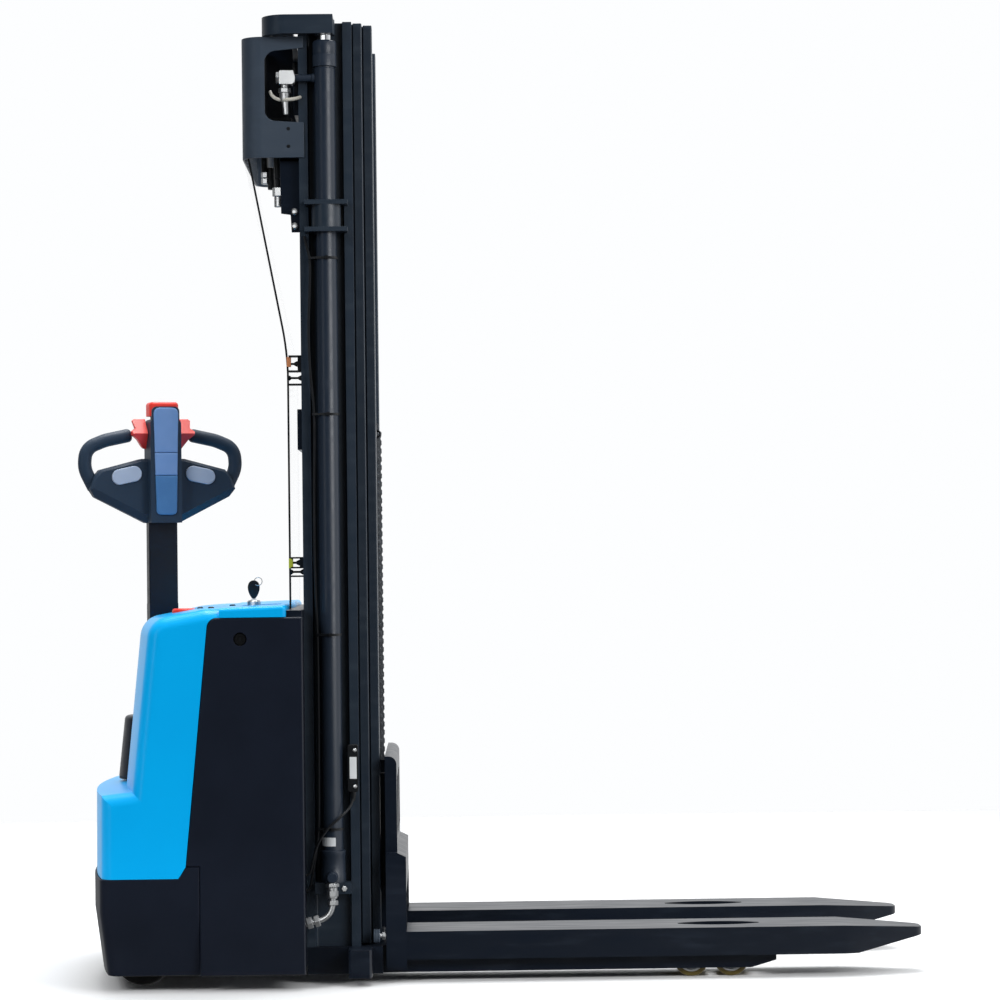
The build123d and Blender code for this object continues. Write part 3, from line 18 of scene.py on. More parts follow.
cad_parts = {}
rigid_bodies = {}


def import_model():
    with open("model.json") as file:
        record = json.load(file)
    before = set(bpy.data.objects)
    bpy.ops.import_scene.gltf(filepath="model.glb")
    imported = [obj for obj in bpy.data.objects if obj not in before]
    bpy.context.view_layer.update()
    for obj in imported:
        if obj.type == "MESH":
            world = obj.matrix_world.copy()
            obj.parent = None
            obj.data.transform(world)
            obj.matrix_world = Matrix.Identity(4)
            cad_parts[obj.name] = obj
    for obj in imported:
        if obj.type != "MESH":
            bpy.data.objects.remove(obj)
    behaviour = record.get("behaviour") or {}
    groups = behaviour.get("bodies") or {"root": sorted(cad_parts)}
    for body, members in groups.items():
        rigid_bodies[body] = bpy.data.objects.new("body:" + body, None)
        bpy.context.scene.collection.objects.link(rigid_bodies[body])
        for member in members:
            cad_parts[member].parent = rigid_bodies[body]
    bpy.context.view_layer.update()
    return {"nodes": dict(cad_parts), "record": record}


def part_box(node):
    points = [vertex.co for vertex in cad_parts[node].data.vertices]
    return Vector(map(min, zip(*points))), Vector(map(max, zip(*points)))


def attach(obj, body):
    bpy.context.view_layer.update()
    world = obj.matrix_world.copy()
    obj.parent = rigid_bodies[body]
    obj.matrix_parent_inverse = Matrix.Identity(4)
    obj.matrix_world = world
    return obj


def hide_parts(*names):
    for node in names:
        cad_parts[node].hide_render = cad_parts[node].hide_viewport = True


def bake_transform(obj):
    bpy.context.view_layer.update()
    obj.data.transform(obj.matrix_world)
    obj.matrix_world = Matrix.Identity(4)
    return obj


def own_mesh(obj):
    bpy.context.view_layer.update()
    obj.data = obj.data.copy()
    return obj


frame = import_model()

mm = 0.001
both_sides = (("left", 1), ("right", -1))
behaviour = frame["record"]["behaviour"]
body_of_node = {node: body for body, nodes in behaviour["bodies"].items() for node in nodes}
slot_of_node = {part["node"]: part["material_slot"] for part in frame["record"]["subparts"]}

# %% [markdown]
# ## Small helpers for finishes
# A shader works in linear light, but a colour is given as an sRGB hex value, so one function turns it
# over. Another adds any node with its settings and links. Every finish below is built from these, and the
# scale of each pattern is worked out from a size on the real surface.


# %% Colour and node helpers
def linear(code):
    """Linear RGBA of an sRGB hex colour: each channel is ((c + 0.055) / 1.055) ** 2.4, or c / 12.92 near
    black."""
    c = np.array([int(code[i:i + 2], 16) for i in (1, 3, 5)]) / 255
    low, high = c / 12.92, ((c + 0.055) / 1.055) ** 2.4
    return (*np.where(c <= 0.04045, low, high).tolist(), 1.0)


def fill(node, inputs):
    """Fill a node's sockets, each with a value or with a (node, output) link."""
    for socket, value in inputs.items():
        if isinstance(value, tuple) and isinstance(value[0], bpy.types.Node):
            node.id_data.links.new(value[0].outputs[value[1]], node.inputs[socket])
        else:
            node.inputs[socket].default_value = value


def add(tree, kind, inputs=None, **settings):
    """Add a node: settings are its properties, inputs its sockets."""
    node = tree.nodes.new(kind)
    for key, value in settings.items():
        setattr(node, key, value)
    fill(node, inputs or {})
    return node


grey = linear("#808080")[0]
print(f"half grey on screen is {grey:.2f} of full light")


# %% Empty finish and pattern scale
def new_finish(name):
    """Empty material with its node tree, the Principled shader and the object coordinates."""
    finish = bpy.data.materials.new(name)
    finish.use_nodes = True
    tree = finish.node_tree
    return finish, tree, tree.nodes["Principled BSDF"], add(tree, "ShaderNodeTexCoord")


def per_mm(size_mm):
    """Texture scale that makes one feature of a pattern this many millimetres wide, in metre coordinates."""
    return 1.0 / (size_mm * mm)


finishes = {}
print("a pattern of 2 mm has a scale of", round(per_mm(2)))

# %% [markdown]
# ## Moulded plastics
# The blue covers are gloss ABS: a clear shine over an even colour, with the faint long waves that a big
# mould leaves. A plain colour would do from afar, but large smooth faces then look like paper, so a slow
# wave bends the shine.


# %% Blue ABS cover
def blue_abs():
    """Gloss ABS: even blue, slightly deeper in patches 220 mm wide, with flow waves about 60 mm long."""
    finish, tree, shader, place = new_finish("gloss_abs_blue")
    cloud = add(tree, "ShaderNodeTexNoise", {
        "Vector": (place, "Object"), "Scale": per_mm(220), "Detail": 2.0})
    tone = add(tree, "ShaderNodeMixRGB", {
        "Fac": (cloud, "Fac"), "Color1": linear("#00AAF2"), "Color2": linear("#00B3F8")})
    wave = add(tree, "ShaderNodeTexNoise", {"Vector": (place, "Object"), "Scale": per_mm(60), "Detail": 1.0})
    bump = add(tree, "ShaderNodeBump", {"Height": (wave, "Fac"), "Strength": 0.04, "Distance": 1 * mm})
    fill(shader, {"Base Color": (tone, 0), "Normal": (bump, 0), "Roughness": 0.34, "IOR": 1.53,
                  "Specular IOR Level": 0.3, "Coat Weight": 0.05, "Coat Roughness": 0.12})
    return finish


# Gloss ABS: clean, full colour under a soft shine.
finishes["blue_cover"] = blue_abs()
print("made", finishes["blue_cover"].name)

# %% [markdown]
# ## Grained black plastics
# The side panels and the skirt are moulded with a leather grain that hides scratches, and the tiller's head
# has a soft skin. Grain could be modelled, but it is far too fine: a bump of Voronoi cells breaks the shine
# into a dull sheen.


# %% Black grained panel
def grained_black(name, dark, light, roughness, grain_mm, depth_mm):
    """Moulded black plastic: grain cells of a given width, with the shine a little uneven in patches 140 mm
    wide."""
    finish, tree, shader, place = new_finish(name)
    # A mould's leather grain is under a millimetre wide. It is drawn up to three times as coarse, so that
    # it shows.
    grain = add(tree, "ShaderNodeTexVoronoi", {"Vector": (place, "Object"), "Scale": per_mm(grain_mm)})
    cloud = add(tree, "ShaderNodeTexNoise", {
        "Vector": (place, "Object"), "Scale": per_mm(140), "Detail": 4.0})
    tone = add(tree, "ShaderNodeMixRGB", {
        "Fac": (cloud, "Fac"), "Color1": linear(dark), "Color2": linear(light)})
    shine = add(tree, "ShaderNodeMapRange", {
        "Value": (cloud, "Fac"), "To Min": roughness - 0.06, "To Max": roughness + 0.08})
    bump = add(tree, "ShaderNodeBump", {
        "Height": (grain, "Distance"), "Strength": 0.25, "Distance": depth_mm * mm})
    fill(shader, {"Base Color": (tone, 0), "Roughness": (shine, 0), "Normal": (bump, 0), "IOR": 1.5})
    return finish


# Grained black plastics: flat, dull faces without a mirror image. The grip's elastomer is bluer and paler.
finishes["black_plastic"] = grained_black("grained_polyethylene", "#0A111E", "#111A2B", 0.5, 1.6, 0.25)
finishes["soft_grip"] = grained_black("soft_grip_elastomer", "#203042", "#2A3B4E", 0.5, 1.2, 0.2)
finishes["battery_case"] = grained_black("battery_polypropylene", "#33363A", "#3D4045", 0.5, 2.5, 0.2)
print("grained finishes bring the count to", len(finishes))

# %% [markdown]
# ## Controls and trim
# Buttons, caps, ties and locks are small mouldings in many colours. They differ in colour and shine only,
# so one function makes them all from two tones, and the small shift between the tones keeps them from
# looking flat.


# %% Coloured controls and trim
def smooth_plastic(name, dark, light, roughness, coat):
    """Small moulded control: colour shifts a little over 30 mm, with a fine sandy grain of half a
    millimetre."""
    finish, tree, shader, place = new_finish(name)
    cloud = add(tree, "ShaderNodeTexNoise", {"Vector": (place, "Object"), "Scale": per_mm(30), "Detail": 3.0})
    tone = add(tree, "ShaderNodeMixRGB", {
        "Fac": (cloud, "Fac"), "Color1": linear(dark), "Color2": linear(light)})
    # A spark-eroded mould leaves grain of a tenth of a millimetre. It is drawn five times as coarse, so
    # that it shows.
    sand = add(tree, "ShaderNodeTexNoise", {"Vector": (place, "Object"), "Scale": per_mm(0.5), "Detail": 1.0})
    bump = add(tree, "ShaderNodeBump", {"Height": (sand, "Fac"), "Strength": 0.08, "Distance": 0.1 * mm})
    fill(shader, {"Base Color": (tone, 0), "Normal": (bump, 0), "Roughness": roughness, "Coat Weight": coat,
                  "IOR": 1.5})
    return finish


# Gloss ABS controls: clean colour under a soft shine, broken a little by the grain.
finishes["strip_grey"] = smooth_plastic("blue_grey_abs", "#648CC2", "#7496CA", 0.38, 0.1)
finishes["strip_deep"] = smooth_plastic("deep_blue_abs", "#3D6DA2", "#4B7DB0", 0.35, 0.1)
finishes["thumb_grey"] = smooth_plastic("grey_blue_abs", "#9DAEC9", "#ADBBD1", 0.4, 0.1)
finishes["control_red"] = smooth_plastic("signal_red_abs", "#E0302A", "#F2463A", 0.4, 0.1)
# Nylon, acetal and polyethylene: waxy and dull, from black to milky white. The locks' near full black is
# painted shade: the dark of the holes they sit in, put into their colour. Polyester foil: an even white.
finishes["black_trim"] = smooth_plastic("black_nylon", "#0E1013", "#1A1D21", 0.45, 0.0)
finishes["lock_black_painted_shade"] = smooth_plastic("black_acetal_painted_shade", "#030507", "#06080B", 0.55, 0.0)
finishes["nylon_tube"] = smooth_plastic("natural_nylon", "#B4B2A8", "#CCCAC0", 0.35, 0.2)
finishes["yellow_cap"] = smooth_plastic("yellow_polyethylene", "#C6CB3C", "#D6DA50", 0.45, 0.0)
finishes["orange_cap"] = smooth_plastic("orange_polyethylene", "#D98A5C", "#E39C70", 0.45, 0.0)
finishes["plate_foil"] = smooth_plastic("white_polyester_foil", "#D5D9DC", "#E4E7E9", 0.4, 0.1)
print("controls and trim bring the count to", len(finishes))

# %% [markdown]
# ## Painted steel
# Mast, forks and chassis are steel under a black powder coat. The powder melts into a skin with shallow
# dimples called orange peel, which blur reflections close up but still mirror a bright surround at a flat
# angle. Plain black would swallow every edge, so the tone is a very dark blue grey with paler streaks where
# loads have rubbed it.


# %% Powder coat
def powder_coat(name, dark, light, roughness, scuffs):
    """Powder coat on steel: orange peel 2.5 mm wide, and scuffed streaks 18 mm wide, long in X where things
    slide."""
    finish, tree, shader, place = new_finish(name)
    peel = add(tree, "ShaderNodeTexNoise", {"Vector": (place, "Object"), "Scale": per_mm(2.5), "Detail": 1.0})
    bump = add(tree, "ShaderNodeBump", {"Height": (peel, "Fac"), "Strength": 0.12, "Distance": 0.2 * mm})
    stretch = add(tree, "ShaderNodeMapping", {"Vector": (place, "Object"), "Scale": (0.15, 1.0, 1.0)})
    streak = add(tree, "ShaderNodeTexNoise", {"Vector": (stretch, 0), "Scale": per_mm(18), "Detail": 6.0})
    worn = add(tree, "ShaderNodeMapRange", {
        "Value": (streak, "Fac"), "From Min": 0.55, "From Max": 0.8, "To Min": 0.0, "To Max": scuffs})
    tone = add(tree, "ShaderNodeMixRGB", {"Fac": (worn, 0), "Color1": linear(dark), "Color2": linear(light)})
    shine = add(tree, "ShaderNodeMapRange", {
        "Value": (streak, "Fac"), "From Min": 0.3, "From Max": 0.75, "To Min": roughness - 0.05,
        "To Max": roughness + 0.1})
    fill(shader, {"Base Color": (tone, 0), "Roughness": (shine, 0), "Normal": (bump, 0), "IOR": 1.5})
    return finish


# Powder coat and enamel: near black with a satin shine, in which edges and barrels draw long pale lines.
finishes["black_paint"] = powder_coat("powder_coat_black", "#0E1622", "#1F2A38", 0.34, 0.5)
finishes["mast_paint"] = powder_coat("mast_powder_coat", "#1B2530", "#28343F", 0.36, 0.4)
finishes["guard_paint"] = powder_coat("satin_powder_coat", "#2E3844", "#3B4652", 0.46, 0.4)
finishes["cylinder_paint"] = powder_coat("enamel_black", "#19222E", "#242E3B", 0.36, 0.2)
finishes["drive_casting"] = powder_coat("painted_casting", "#17191D", "#2A2D32", 0.5, 0.6)
finishes["tank_paint"] = powder_coat("tank_paint", "#202328", "#33373D", 0.45, 0.4)
print("painted finishes bring the count to", len(finishes))

# %% [markdown]
# ## Bare metal
# Rods are hard chrome, fittings zinc plated, chains bright steel under oil. All are full metals, so their
# colour is the colour of what they mirror, and only the roughness tells them apart. Faint turning marks
# make it uneven.


# %% Plated and polished steel
def plated_steel(name, dark, light, roughness, grain_mm):
    """Metal with turning or brushing marks: bands a given distance apart along Z, with a tone cloudy over
    25 mm."""
    finish, tree, shader, place = new_finish(name)
    stretch = add(tree, "ShaderNodeMapping", {"Vector": (place, "Object"), "Scale": (0.1, 0.1, 1.0)})
    # Turning marks are a tenth of a millimetre apart. They are drawn about ten times as coarse, so that
    # they show.
    band = add(tree, "ShaderNodeTexNoise", {"Vector": (stretch, 0), "Scale": per_mm(grain_mm), "Detail": 2.0})
    cloud = add(tree, "ShaderNodeTexNoise", {"Vector": (place, "Object"), "Scale": per_mm(25), "Detail": 4.0})
    tone = add(tree, "ShaderNodeMixRGB", {
        "Fac": (cloud, "Fac"), "Color1": linear(dark), "Color2": linear(light)})
    shine = add(tree, "ShaderNodeMapRange", {
        "Value": (band, "Fac"), "To Min": roughness - 0.05, "To Max": roughness + 0.12})
    fill(shader, {"Base Color": (tone, 0), "Roughness": (shine, 0), "Metallic": 1.0})
    return finish


# Bare metal: mirror bright chrome, frosted zinc, and chain plates dulled by their oil.
finishes["rod_chrome"] = plated_steel("hard_chrome", "#C9CCD0", "#E4E6E8", 0.1, 1.0)
finishes["steel"] = plated_steel("zinc_plated_steel", "#BFC2C4", "#E2E4E5", 0.36, 0.8)
finishes["chain_steel"] = plated_steel("oiled_chain_steel", "#5A5E63", "#8C9095", 0.42, 2.0)
print("bare metals bring the count to", len(finishes))

# %% [markdown]
# ## Tyres
# The rear wheels run on solid black rubber, the load rollers under the forks on amber polyurethane. Neither
# shines much: dust in patches and small scuffs do more for them than gloss would.


# %% Rubber and polyurethane
def tyre_compound(name, dark, light, roughness):
    """Solid tyre: matte, dusty in patches about 20 mm wide, with tread scuffs of 1.5 mm."""
    finish, tree, shader, place = new_finish(name)
    dust = add(tree, "ShaderNodeTexNoise", {"Vector": (place, "Object"), "Scale": per_mm(20), "Detail": 8.0})
    tone = add(tree, "ShaderNodeMixRGB", {
        "Fac": (dust, "Fac"), "Color1": linear(dark), "Color2": linear(light)})
    scuff = add(tree, "ShaderNodeTexNoise", {
        "Vector": (place, "Object"), "Scale": per_mm(1.5), "Detail": 3.0})
    bump = add(tree, "ShaderNodeBump", {"Height": (scuff, "Fac"), "Strength": 0.2, "Distance": 0.3 * mm})
    fill(shader, {"Base Color": (tone, 0), "Normal": (bump, 0), "Roughness": roughness})
    return finish


# Tyres: dusty matte rubber, and polyurethane with a waxy amber glow.
finishes["tyre_rubber"] = tyre_compound("solid_rubber", "#0E0F10", "#1B1C1D", 0.7)
finishes["roller_polyurethane"] = tyre_compound("amber_polyurethane", "#4E4420", "#6E5F2C", 0.42)
print("tyres bring the count to", len(finishes))

# %% [markdown]
# ## Clear sheet
# The screen behind the mast is clear polycarbonate. It could be glass with full transmission, but a flat
# sheet this thin hardly bends light, and glass would turn grey and noisy. A low alpha lets the light
# through and keeps the gloss.


# %% Clear polycarbonate
def clear_sheet():
    """Clear polycarbonate sheet: nearly colourless, with hazy scratches in patches about 8 mm wide."""
    finish, tree, shader, place = new_finish("clear_polycarbonate")
    scratch = add(tree, "ShaderNodeTexNoise", {
        "Vector": (place, "Object"), "Scale": per_mm(8), "Detail": 8.0})
    haze = add(tree, "ShaderNodeMapRange", {
        "Value": (scratch, "Fac"), "From Min": 0.6, "From Max": 0.9, "To Min": 0.03, "To Max": 0.2})
    # A thin flat sheet bends light too little to see, so most of the light is simply let through.
    fill(shader, {"Base Color": linear("#F4F8FA"), "Roughness": (haze, 0), "Alpha": 0.06, "IOR": 1.58})
    return finish


# Polycarbonate: all but unseen face on, a faint gleam where it mirrors a lamp.
finishes["clear_screen"] = clear_sheet()
print(len(finishes), "finishes in all")

# %% [markdown]
# ## Skins over grids of points
# A turned barrel, a bent pipe and a flat plate look different, but each is a grid: rows of points along the
# piece, columns around it, and skin stretched between neighbours. They could be modelled by hand from
# cylinders and cubes. Working the grid out as an array keeps every size in view, and one function then
# skins them all.


# %% From points to skins
hexagon, round_bar = 6, 24


def skin(grid, looped=False):
    """Quads between each point, the next in its row and the two below. The first and the last row are
    filled, or joined to each other where the piece is looped."""
    rows, columns = grid.shape[:2]
    number = np.arange(rows * columns).reshape(rows, columns)
    here, below = (number, np.roll(number, -1, 0)) if looped else (number[:-1], number[1:])
    quads = np.stack([here, np.roll(here, -1, 1), np.roll(below, -1, 1), below], -1).reshape(-1, 4)
    return grid.reshape(-1, 3), [quads] if looped else [quads, number[:1], number[-1:]]


def unit(rows):
    """Each row divided by its length."""
    return rows / np.linalg.norm(rows, axis=-1, keepdims=True)


def turned(profile, place=(0, 0, 0), way=(0, 0, 1), sides=40, looped=False):
    """Lathe work in mm: a profile of (height, radius) goes to (radius cos a, radius sin a, height) for a
    full turn of a. Its axis is then laid along a way and its foot set at a place."""
    height, radius = np.array(profile, float).T
    a = np.arange(sides) * 2 * np.pi / sides
    x, y, z = np.outer(radius, np.cos(a)), np.outer(radius, np.sin(a)), np.outer(height, np.ones(sides))
    drawn = np.stack([x, y, z], -1)
    turn = np.array(Vector(way).to_track_quat("Z", "Y").to_matrix())
    return skin((drawn @ turn.T + np.array(place)) * mm, looped)


print(len(turned([(0, 10), (5, 10)], sides=hexagon)[0]), "points in a plain hexagon bar")


# %% Plates and blocks
def plate(outline, axis, low, high):
    """Flat plate in mm: an outline in the two other directions, at a low and a high place along an axis (0,
    1, 2)."""
    flat = np.array(outline, float)
    return skin(np.stack([np.insert(flat, axis, level, axis=1) for level in (low, high)]) * mm)


def block(low, high):
    """Six-sided block in mm between two opposite corners."""
    (x0, y0, z0), (x1, y1, z1) = low, high
    return plate([(x0, y0), (x1, y0), (x1, y1), (x0, y1)], 2, z0, z1)


print(len(block((0, 0, 0), (1, 1, 1))[0]), "points in a block")


# %% Bars carried along a bend
def carried(path, section, square_to=(0, 1, 0), closed=False):
    """A section of (a, b) points carried along a path in mm, open or closed to a ring: a along the
    direction square to the path and to a given one, b along the direction square to path and a."""
    path, section = np.array(path, float), np.array(section, float)
    along = np.roll(path, -1, 0) - np.roll(path, 1, 0) if closed else np.gradient(path, axis=0)
    side = unit(np.cross(along, square_to))
    other = unit(np.cross(side, along))
    ring = side[:, None] * section[None, :, :1] + other[:, None] * section[None, :, 1:]
    return skin((path[:, None] + ring) * mm, closed)


def circle(radius, sides=16):
    """Section of a round bar: (radius cos a, radius sin a)."""
    a = np.arange(sides) * 2 * np.pi / sides
    return radius * np.stack([np.cos(a), np.sin(a)], -1)


def bend(start, corner, end, count=14):
    """Points of a smooth bend: (1 - t)^2 start + 2 t (1 - t) corner + t^2 end, for t from 0 to 1."""
    t = np.linspace(0, 1, count)[:, None]
    return (1 - t) ** 2 * np.array(start) + 2 * t * (1 - t) * np.array(corner) + t ** 2 * np.array(end)


print(len(bend((0, 0, 0), (10, 0, 0), (10, 0, 10))), "points along a bend")


# %% The same skin many times
def numbered_on(groups, count, points):
    """Faces of one skin for a count of copies: each copy's numbers go on by the skin's number of points."""
    first = (np.arange(count) * points)[:, None, None]
    return [(group[None] + first).reshape(-1, group.shape[1]) for group in groups]


def repeated(one, shifts):
    """One skin at many places: its points plus each shift in mm."""
    points, groups = one
    many = (points[None] + np.array(shifts, float)[:, None] * mm).reshape(-1, 3)
    return many, numbered_on(groups, len(shifts), len(points))


print(len(repeated(block((0, 0, 0), (1, 1, 1)), [(0, 0, 0), (0, 0, 5)])[0]), "points in two blocks")

# %% [markdown]
# ## Softened edges
# No real edge is perfectly sharp: a bent plate or a mould has a small radius that catches a thin line of
# light. Sharp edges could be rounded point by point, but a Bevel modifier does it from one width and stays
# live. The frame's solids come as loose triangles, so each is copied first, its doubled points merged and
# its flat faces joined.


# %% Rounded edges
few_steps, more_steps, wide_edge = 2, 4, 3


def round_edges(dressed, width_mm, angle=32.0):
    """Shade smooth up to an angle and round the sharper edges by a width, with the normals evened."""
    dressed.data.shade_smooth()
    dressed.data.set_sharp_from_angle(angle=math.radians(angle))
    if width_mm:
        bevel = dressed.modifiers.new("edge_radius", "BEVEL")
        bevel.width = width_mm * mm
        bevel.segments = few_steps if width_mm < wide_edge else more_steps
        bevel.limit_method = "ANGLE"
        bevel.angle_limit = math.radians(angle)
        bevel.harden_normals = True


print(f"edges of {wide_edge} mm and more are rounded in {more_steps} steps, finer ones in {few_steps}")


# %% From a mesh to a piece that rides
def settle(mesh, body, slot, edge_mm, stands_for, finish=None):
    """Object of a finished mesh: in its slot's finish or another, edges rounded, riding on a body if one is
    named, and standing for solids."""
    dressed = bpy.data.objects.new(mesh.name, mesh)
    bpy.context.scene.collection.objects.link(dressed)
    mesh.materials.append(finishes[finish or slot])
    round_edges(dressed, edge_mm)
    if body:
        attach(dressed, body)
    if stands_for:
        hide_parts(*stands_for)
    return dressed


def worked(mesh, change):
    """The same mesh after a change made to it as an editable copy."""
    work = bmesh.new()
    work.from_mesh(mesh)
    change(work)
    work.to_mesh(mesh)
    work.free()
    return mesh


def piece(name, skins, body, slot, edge_mm=0.5, stands_for=(), finish=None):
    """One object from several skins: points laid end to end, faces numbered on, all turned to face
    outwards."""
    counts = [len(points) for points, _ in skins]
    firsts = np.cumsum([0] + counts[:-1])
    faces = [face for (_, groups), first in zip(skins, firsts) for group in groups
             for face in (group + first).tolist()]
    mesh = bpy.data.meshes.new(name)
    mesh.from_pydata(np.concatenate([points for points, _ in skins]).tolist(), [], faces)
    worked(mesh, lambda work: bmesh.ops.recalc_face_normals(work, faces=work.faces))
    return settle(mesh, body, slot, edge_mm, stands_for, finish)


# %% [markdown]
# ## Solids that only need dressing
# Covers, rails, forks and frame have their right shape in the solids already. Drawing them again would only
# lose sizes, so each is copied, cleaned and given its edge radius and finish. Pieces that show more than
# their solid does, such as barrels, chains and wheels, are left for the steps below.

# %% Merged copy of a solid
flat_within = math.radians(0.5)


def merged_mesh(node):
    """Mesh of a solid with equal corners joined: points rounded to a micrometre and made unique, faces
    renumbered."""
    data = frame["nodes"][node].data
    points = np.empty(len(data.vertices) * 3)
    data.vertices.foreach_get("co", points)
    data.calc_loop_triangles()
    corners = np.empty(len(data.loop_triangles) * 3, dtype=np.int64)
    data.loop_triangles.foreach_get("vertices", corners)
    unique, number = np.unique(points.reshape(-1, 3).round(6), axis=0, return_inverse=True)
    faces = number.reshape(-1)[corners].reshape(-1, 3)
    whole = (faces[:, 0] != faces[:, 1]) & (faces[:, 1] != faces[:, 2]) & (faces[:, 2] != faces[:, 0])
    mesh = bpy.data.meshes.new(node + "_dressed")
    mesh.from_pydata(unique.tolist(), [], faces[whole].tolist())
    return worked(mesh, lambda work: bmesh.ops.dissolve_limit(
        work, angle_limit=flat_within, verts=work.verts, edges=work.edges))


print(len(frame["nodes"]["carriage"].data.vertices), "points in the carriage's solid")

# %% Dress the solids whose shape is right
turned_afresh = [
    "lift_cylinder_left", "lift_cylinder_right", "hydraulic_lines", "cables", "screen_clips", "chain_front",
    "chain_rear", "hose_guard", "drive_wheel", "castor_wheel_left", "castor_wheel_right",
    "load_roller_front_left", "load_roller_front_right", "load_roller_rear_left", "load_roller_rear_right",
    "head_strip", "key",
]
rails = [f"{stage}_rail_{side}" for stage in ("outer", "middle", "inner") for side, _ in both_sides]
usual_edge = 1.0
edge_radius = {
    "side_panel_left": 3.5, "side_panel_right": 3.5, "bumper": 3.5, "rear_cover": 1.5, "deck_cover": 2.5,
    "tiller_head": 6.0, "tiller_arm": 1.5, "throttle": 2.5, "belly_button": 3.0, "crosshead": 6.0,
    "carriage": 1.5, "fork_left": 1.8, "fork_right": 1.8, "turret": 1.5, "screen": 0.4,
    "thumb_button_left": 2.0, "thumb_button_right": 2.0, **{rail: 2.0 for rail in rails},
}
other_finish = {rail: "mast_paint" for rail in [*rails, "crosshead"]}
other_finish["tiller_head"] = "soft_grip"
for node in sorted(set(body_of_node) - set(turned_afresh)):
    settle(merged_mesh(node), body_of_node[node], slot_of_node[node], edge_radius.get(node, usual_edge),
           [node], other_finish.get(node))
print(len(bpy.data.meshes["carriage_dressed"].vertices), "points in the carriage once merged")
print(len(body_of_node) - len(turned_afresh), "solids dressed")

# %% [markdown]
# ## Places from the frame
# A new piece has to sit where its solid sits. Its place could be typed in again, but the frame already
# knows it: every solid has a box, and wheels, pulley and key turn about hinges. Reading those keeps both
# models together when a size changes.

# %% Boxes and hinges in millimetres
joint_of = {joint["child"]: joint for joint in behaviour["joints"]}


def box_mm(node):
    """Lowest and highest corner of a solid, in mm to a thousandth."""
    return (np.array(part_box(node)) / mm).round(3)


def hinge(body):
    """Where a body's hinge stands, in mm to a thousandth, and which way its axle points."""
    joint = joint_of[body]
    return (np.array(joint["pos_m"]) / mm).round(3), np.array(joint["axis"], float)


print("the pulley's axle stands at", hinge("chain_pulley")[0].tolist())

# %% [markdown]
# ## Lift cylinders
# Each side of the mast has a long lift cylinder: a drawn tube with a welded foot and a screwed head whose
# groove takes the spanner. It is turned work, so one profile of heights and radii carried round its axis
# makes it whole, bore and all.

# %% Turned lift cylinders
cylinder_x, cylinder_y, _ = box_mm("lift_cylinder_left").mean(0)
barrel_profile = [
    (225, 28), (244, 28), (246, 27), (283, 27), (285, 28), (294, 28), (296, 23), (1531, 23), (1533, 22.6),
    (2022, 22.6), (2023, 21.6), (2026, 21.6), (2027, 26), (2052, 26), (2053, 25.5), (2055, 25.5), (2056, 26),
    (2080, 26), (2083, 24.5), (2085, 22), (2085, 16.1), (330, 16.1),
]
for side, sign in both_sides:
    barrel = turned(barrel_profile, (cylinder_x, sign * cylinder_y, 0), sides=48)
    piece("lift_barrel_" + side, [barrel], "chassis", "cylinder_paint", 0.4, ["lift_cylinder_" + side])
print("lift cylinders of", len(barrel_profile), "rings")

# %% [markdown]
# ## Hydraulic fittings
# Steel elbows bring oil to the cylinders' feet, and a bleed block sits by the right head. Pipe bends could
# be curve objects, but carrying a circle along a bend gives one clean skin. Nuts are lathe work with six
# sides.


# %% Elbows at the cylinders' feet
upwards, downwards = (0, 0, 1), (0, 0, -1)


def nut(place, way, radius, length, sides=hexagon):
    """Nut or collar: a short bar with both ends chamfered, six-sided or round."""
    edge = min(1.2, radius / 6)
    return turned([(0, radius - edge), (edge, radius), (length - edge, radius), (length, radius - edge)],
                  place, way, sides)


rail_rear_x = box_mm("outer_rail_left")[0, 0]
elbow_y, elbow_wall_z, elbow_top_z, elbow_bend_z = 335.0, 138.0, 236, 190
fall_back, fall_down = 30.5, 8.0  # the pipe's last run to the wall
pipe_fall = np.array((-fall_back, 0.0, -fall_down)) / math.hypot(fall_back, fall_down)
upright_nuts = [(218, 14.5, 8, hexagon), (193, 10.5, 25, round_bar), (197, 12.5, 13, hexagon),
                (178, 12, 11, hexagon)]
for side, sign in both_sides:
    y, outwards = sign * elbow_y, (0, sign, 0)
    wall_end = np.array((rail_rear_x, y, elbow_wall_z))
    turn_end = wall_end + (fall_back, 0.0, fall_down)
    down = bend((cylinder_x, y, elbow_top_z), (cylinder_x, y, 210), (cylinder_x, y, elbow_bend_z), 5)
    turn = bend((cylinder_x, y, elbow_bend_z), (cylinder_x, y, 153), turn_end, 18)
    route = np.concatenate([down[:-1], turn[:-1], [turn_end, wall_end]])
    sloping_nuts = [(turn_end, 14, 12, hexagon), (turn_end + 16 * pipe_fall, 14, 13, hexagon),
                    (wall_end - 6 * pipe_fall, 12, 3, round_bar),
                    (wall_end - 14 * pipe_fall, 9.5, 12, round_bar)]
    fittings = [carried(route, circle(6.6))]
    fittings += [nut((cylinder_x, y, z), upwards, *size) for z, *size in upright_nuts]
    fittings += [nut(start, pipe_fall, *size) for start, *size in sloping_nuts]
    piece("supply_elbow_" + side, fittings, "chassis", "steel", 0.3, ["hydraulic_lines"])
    boss = turned([(0, 12), (32, 12), (35, 10.5)], (cylinder_x, sign * 312, 239), outwards, 32)
    piece("port_boss_" + side, [boss], "chassis", "cylinder_paint", 0.4)
    plug = nut((-338, sign * 314, 212), outwards, 6.5, 5)
    piece("drain_plug_" + side, [plug], "chassis", "steel", 0.3)
print("two supply elbows of", len(route), "rings")

# %% [markdown]
# ## Bleed block
# Air collects at the top of a cylinder, and a small block with a nipple lets it out. The block is a plate
# with cut corners, all else is turned. A milky nylon tube brings the leaking oil away: a circle carried
# along two bends.

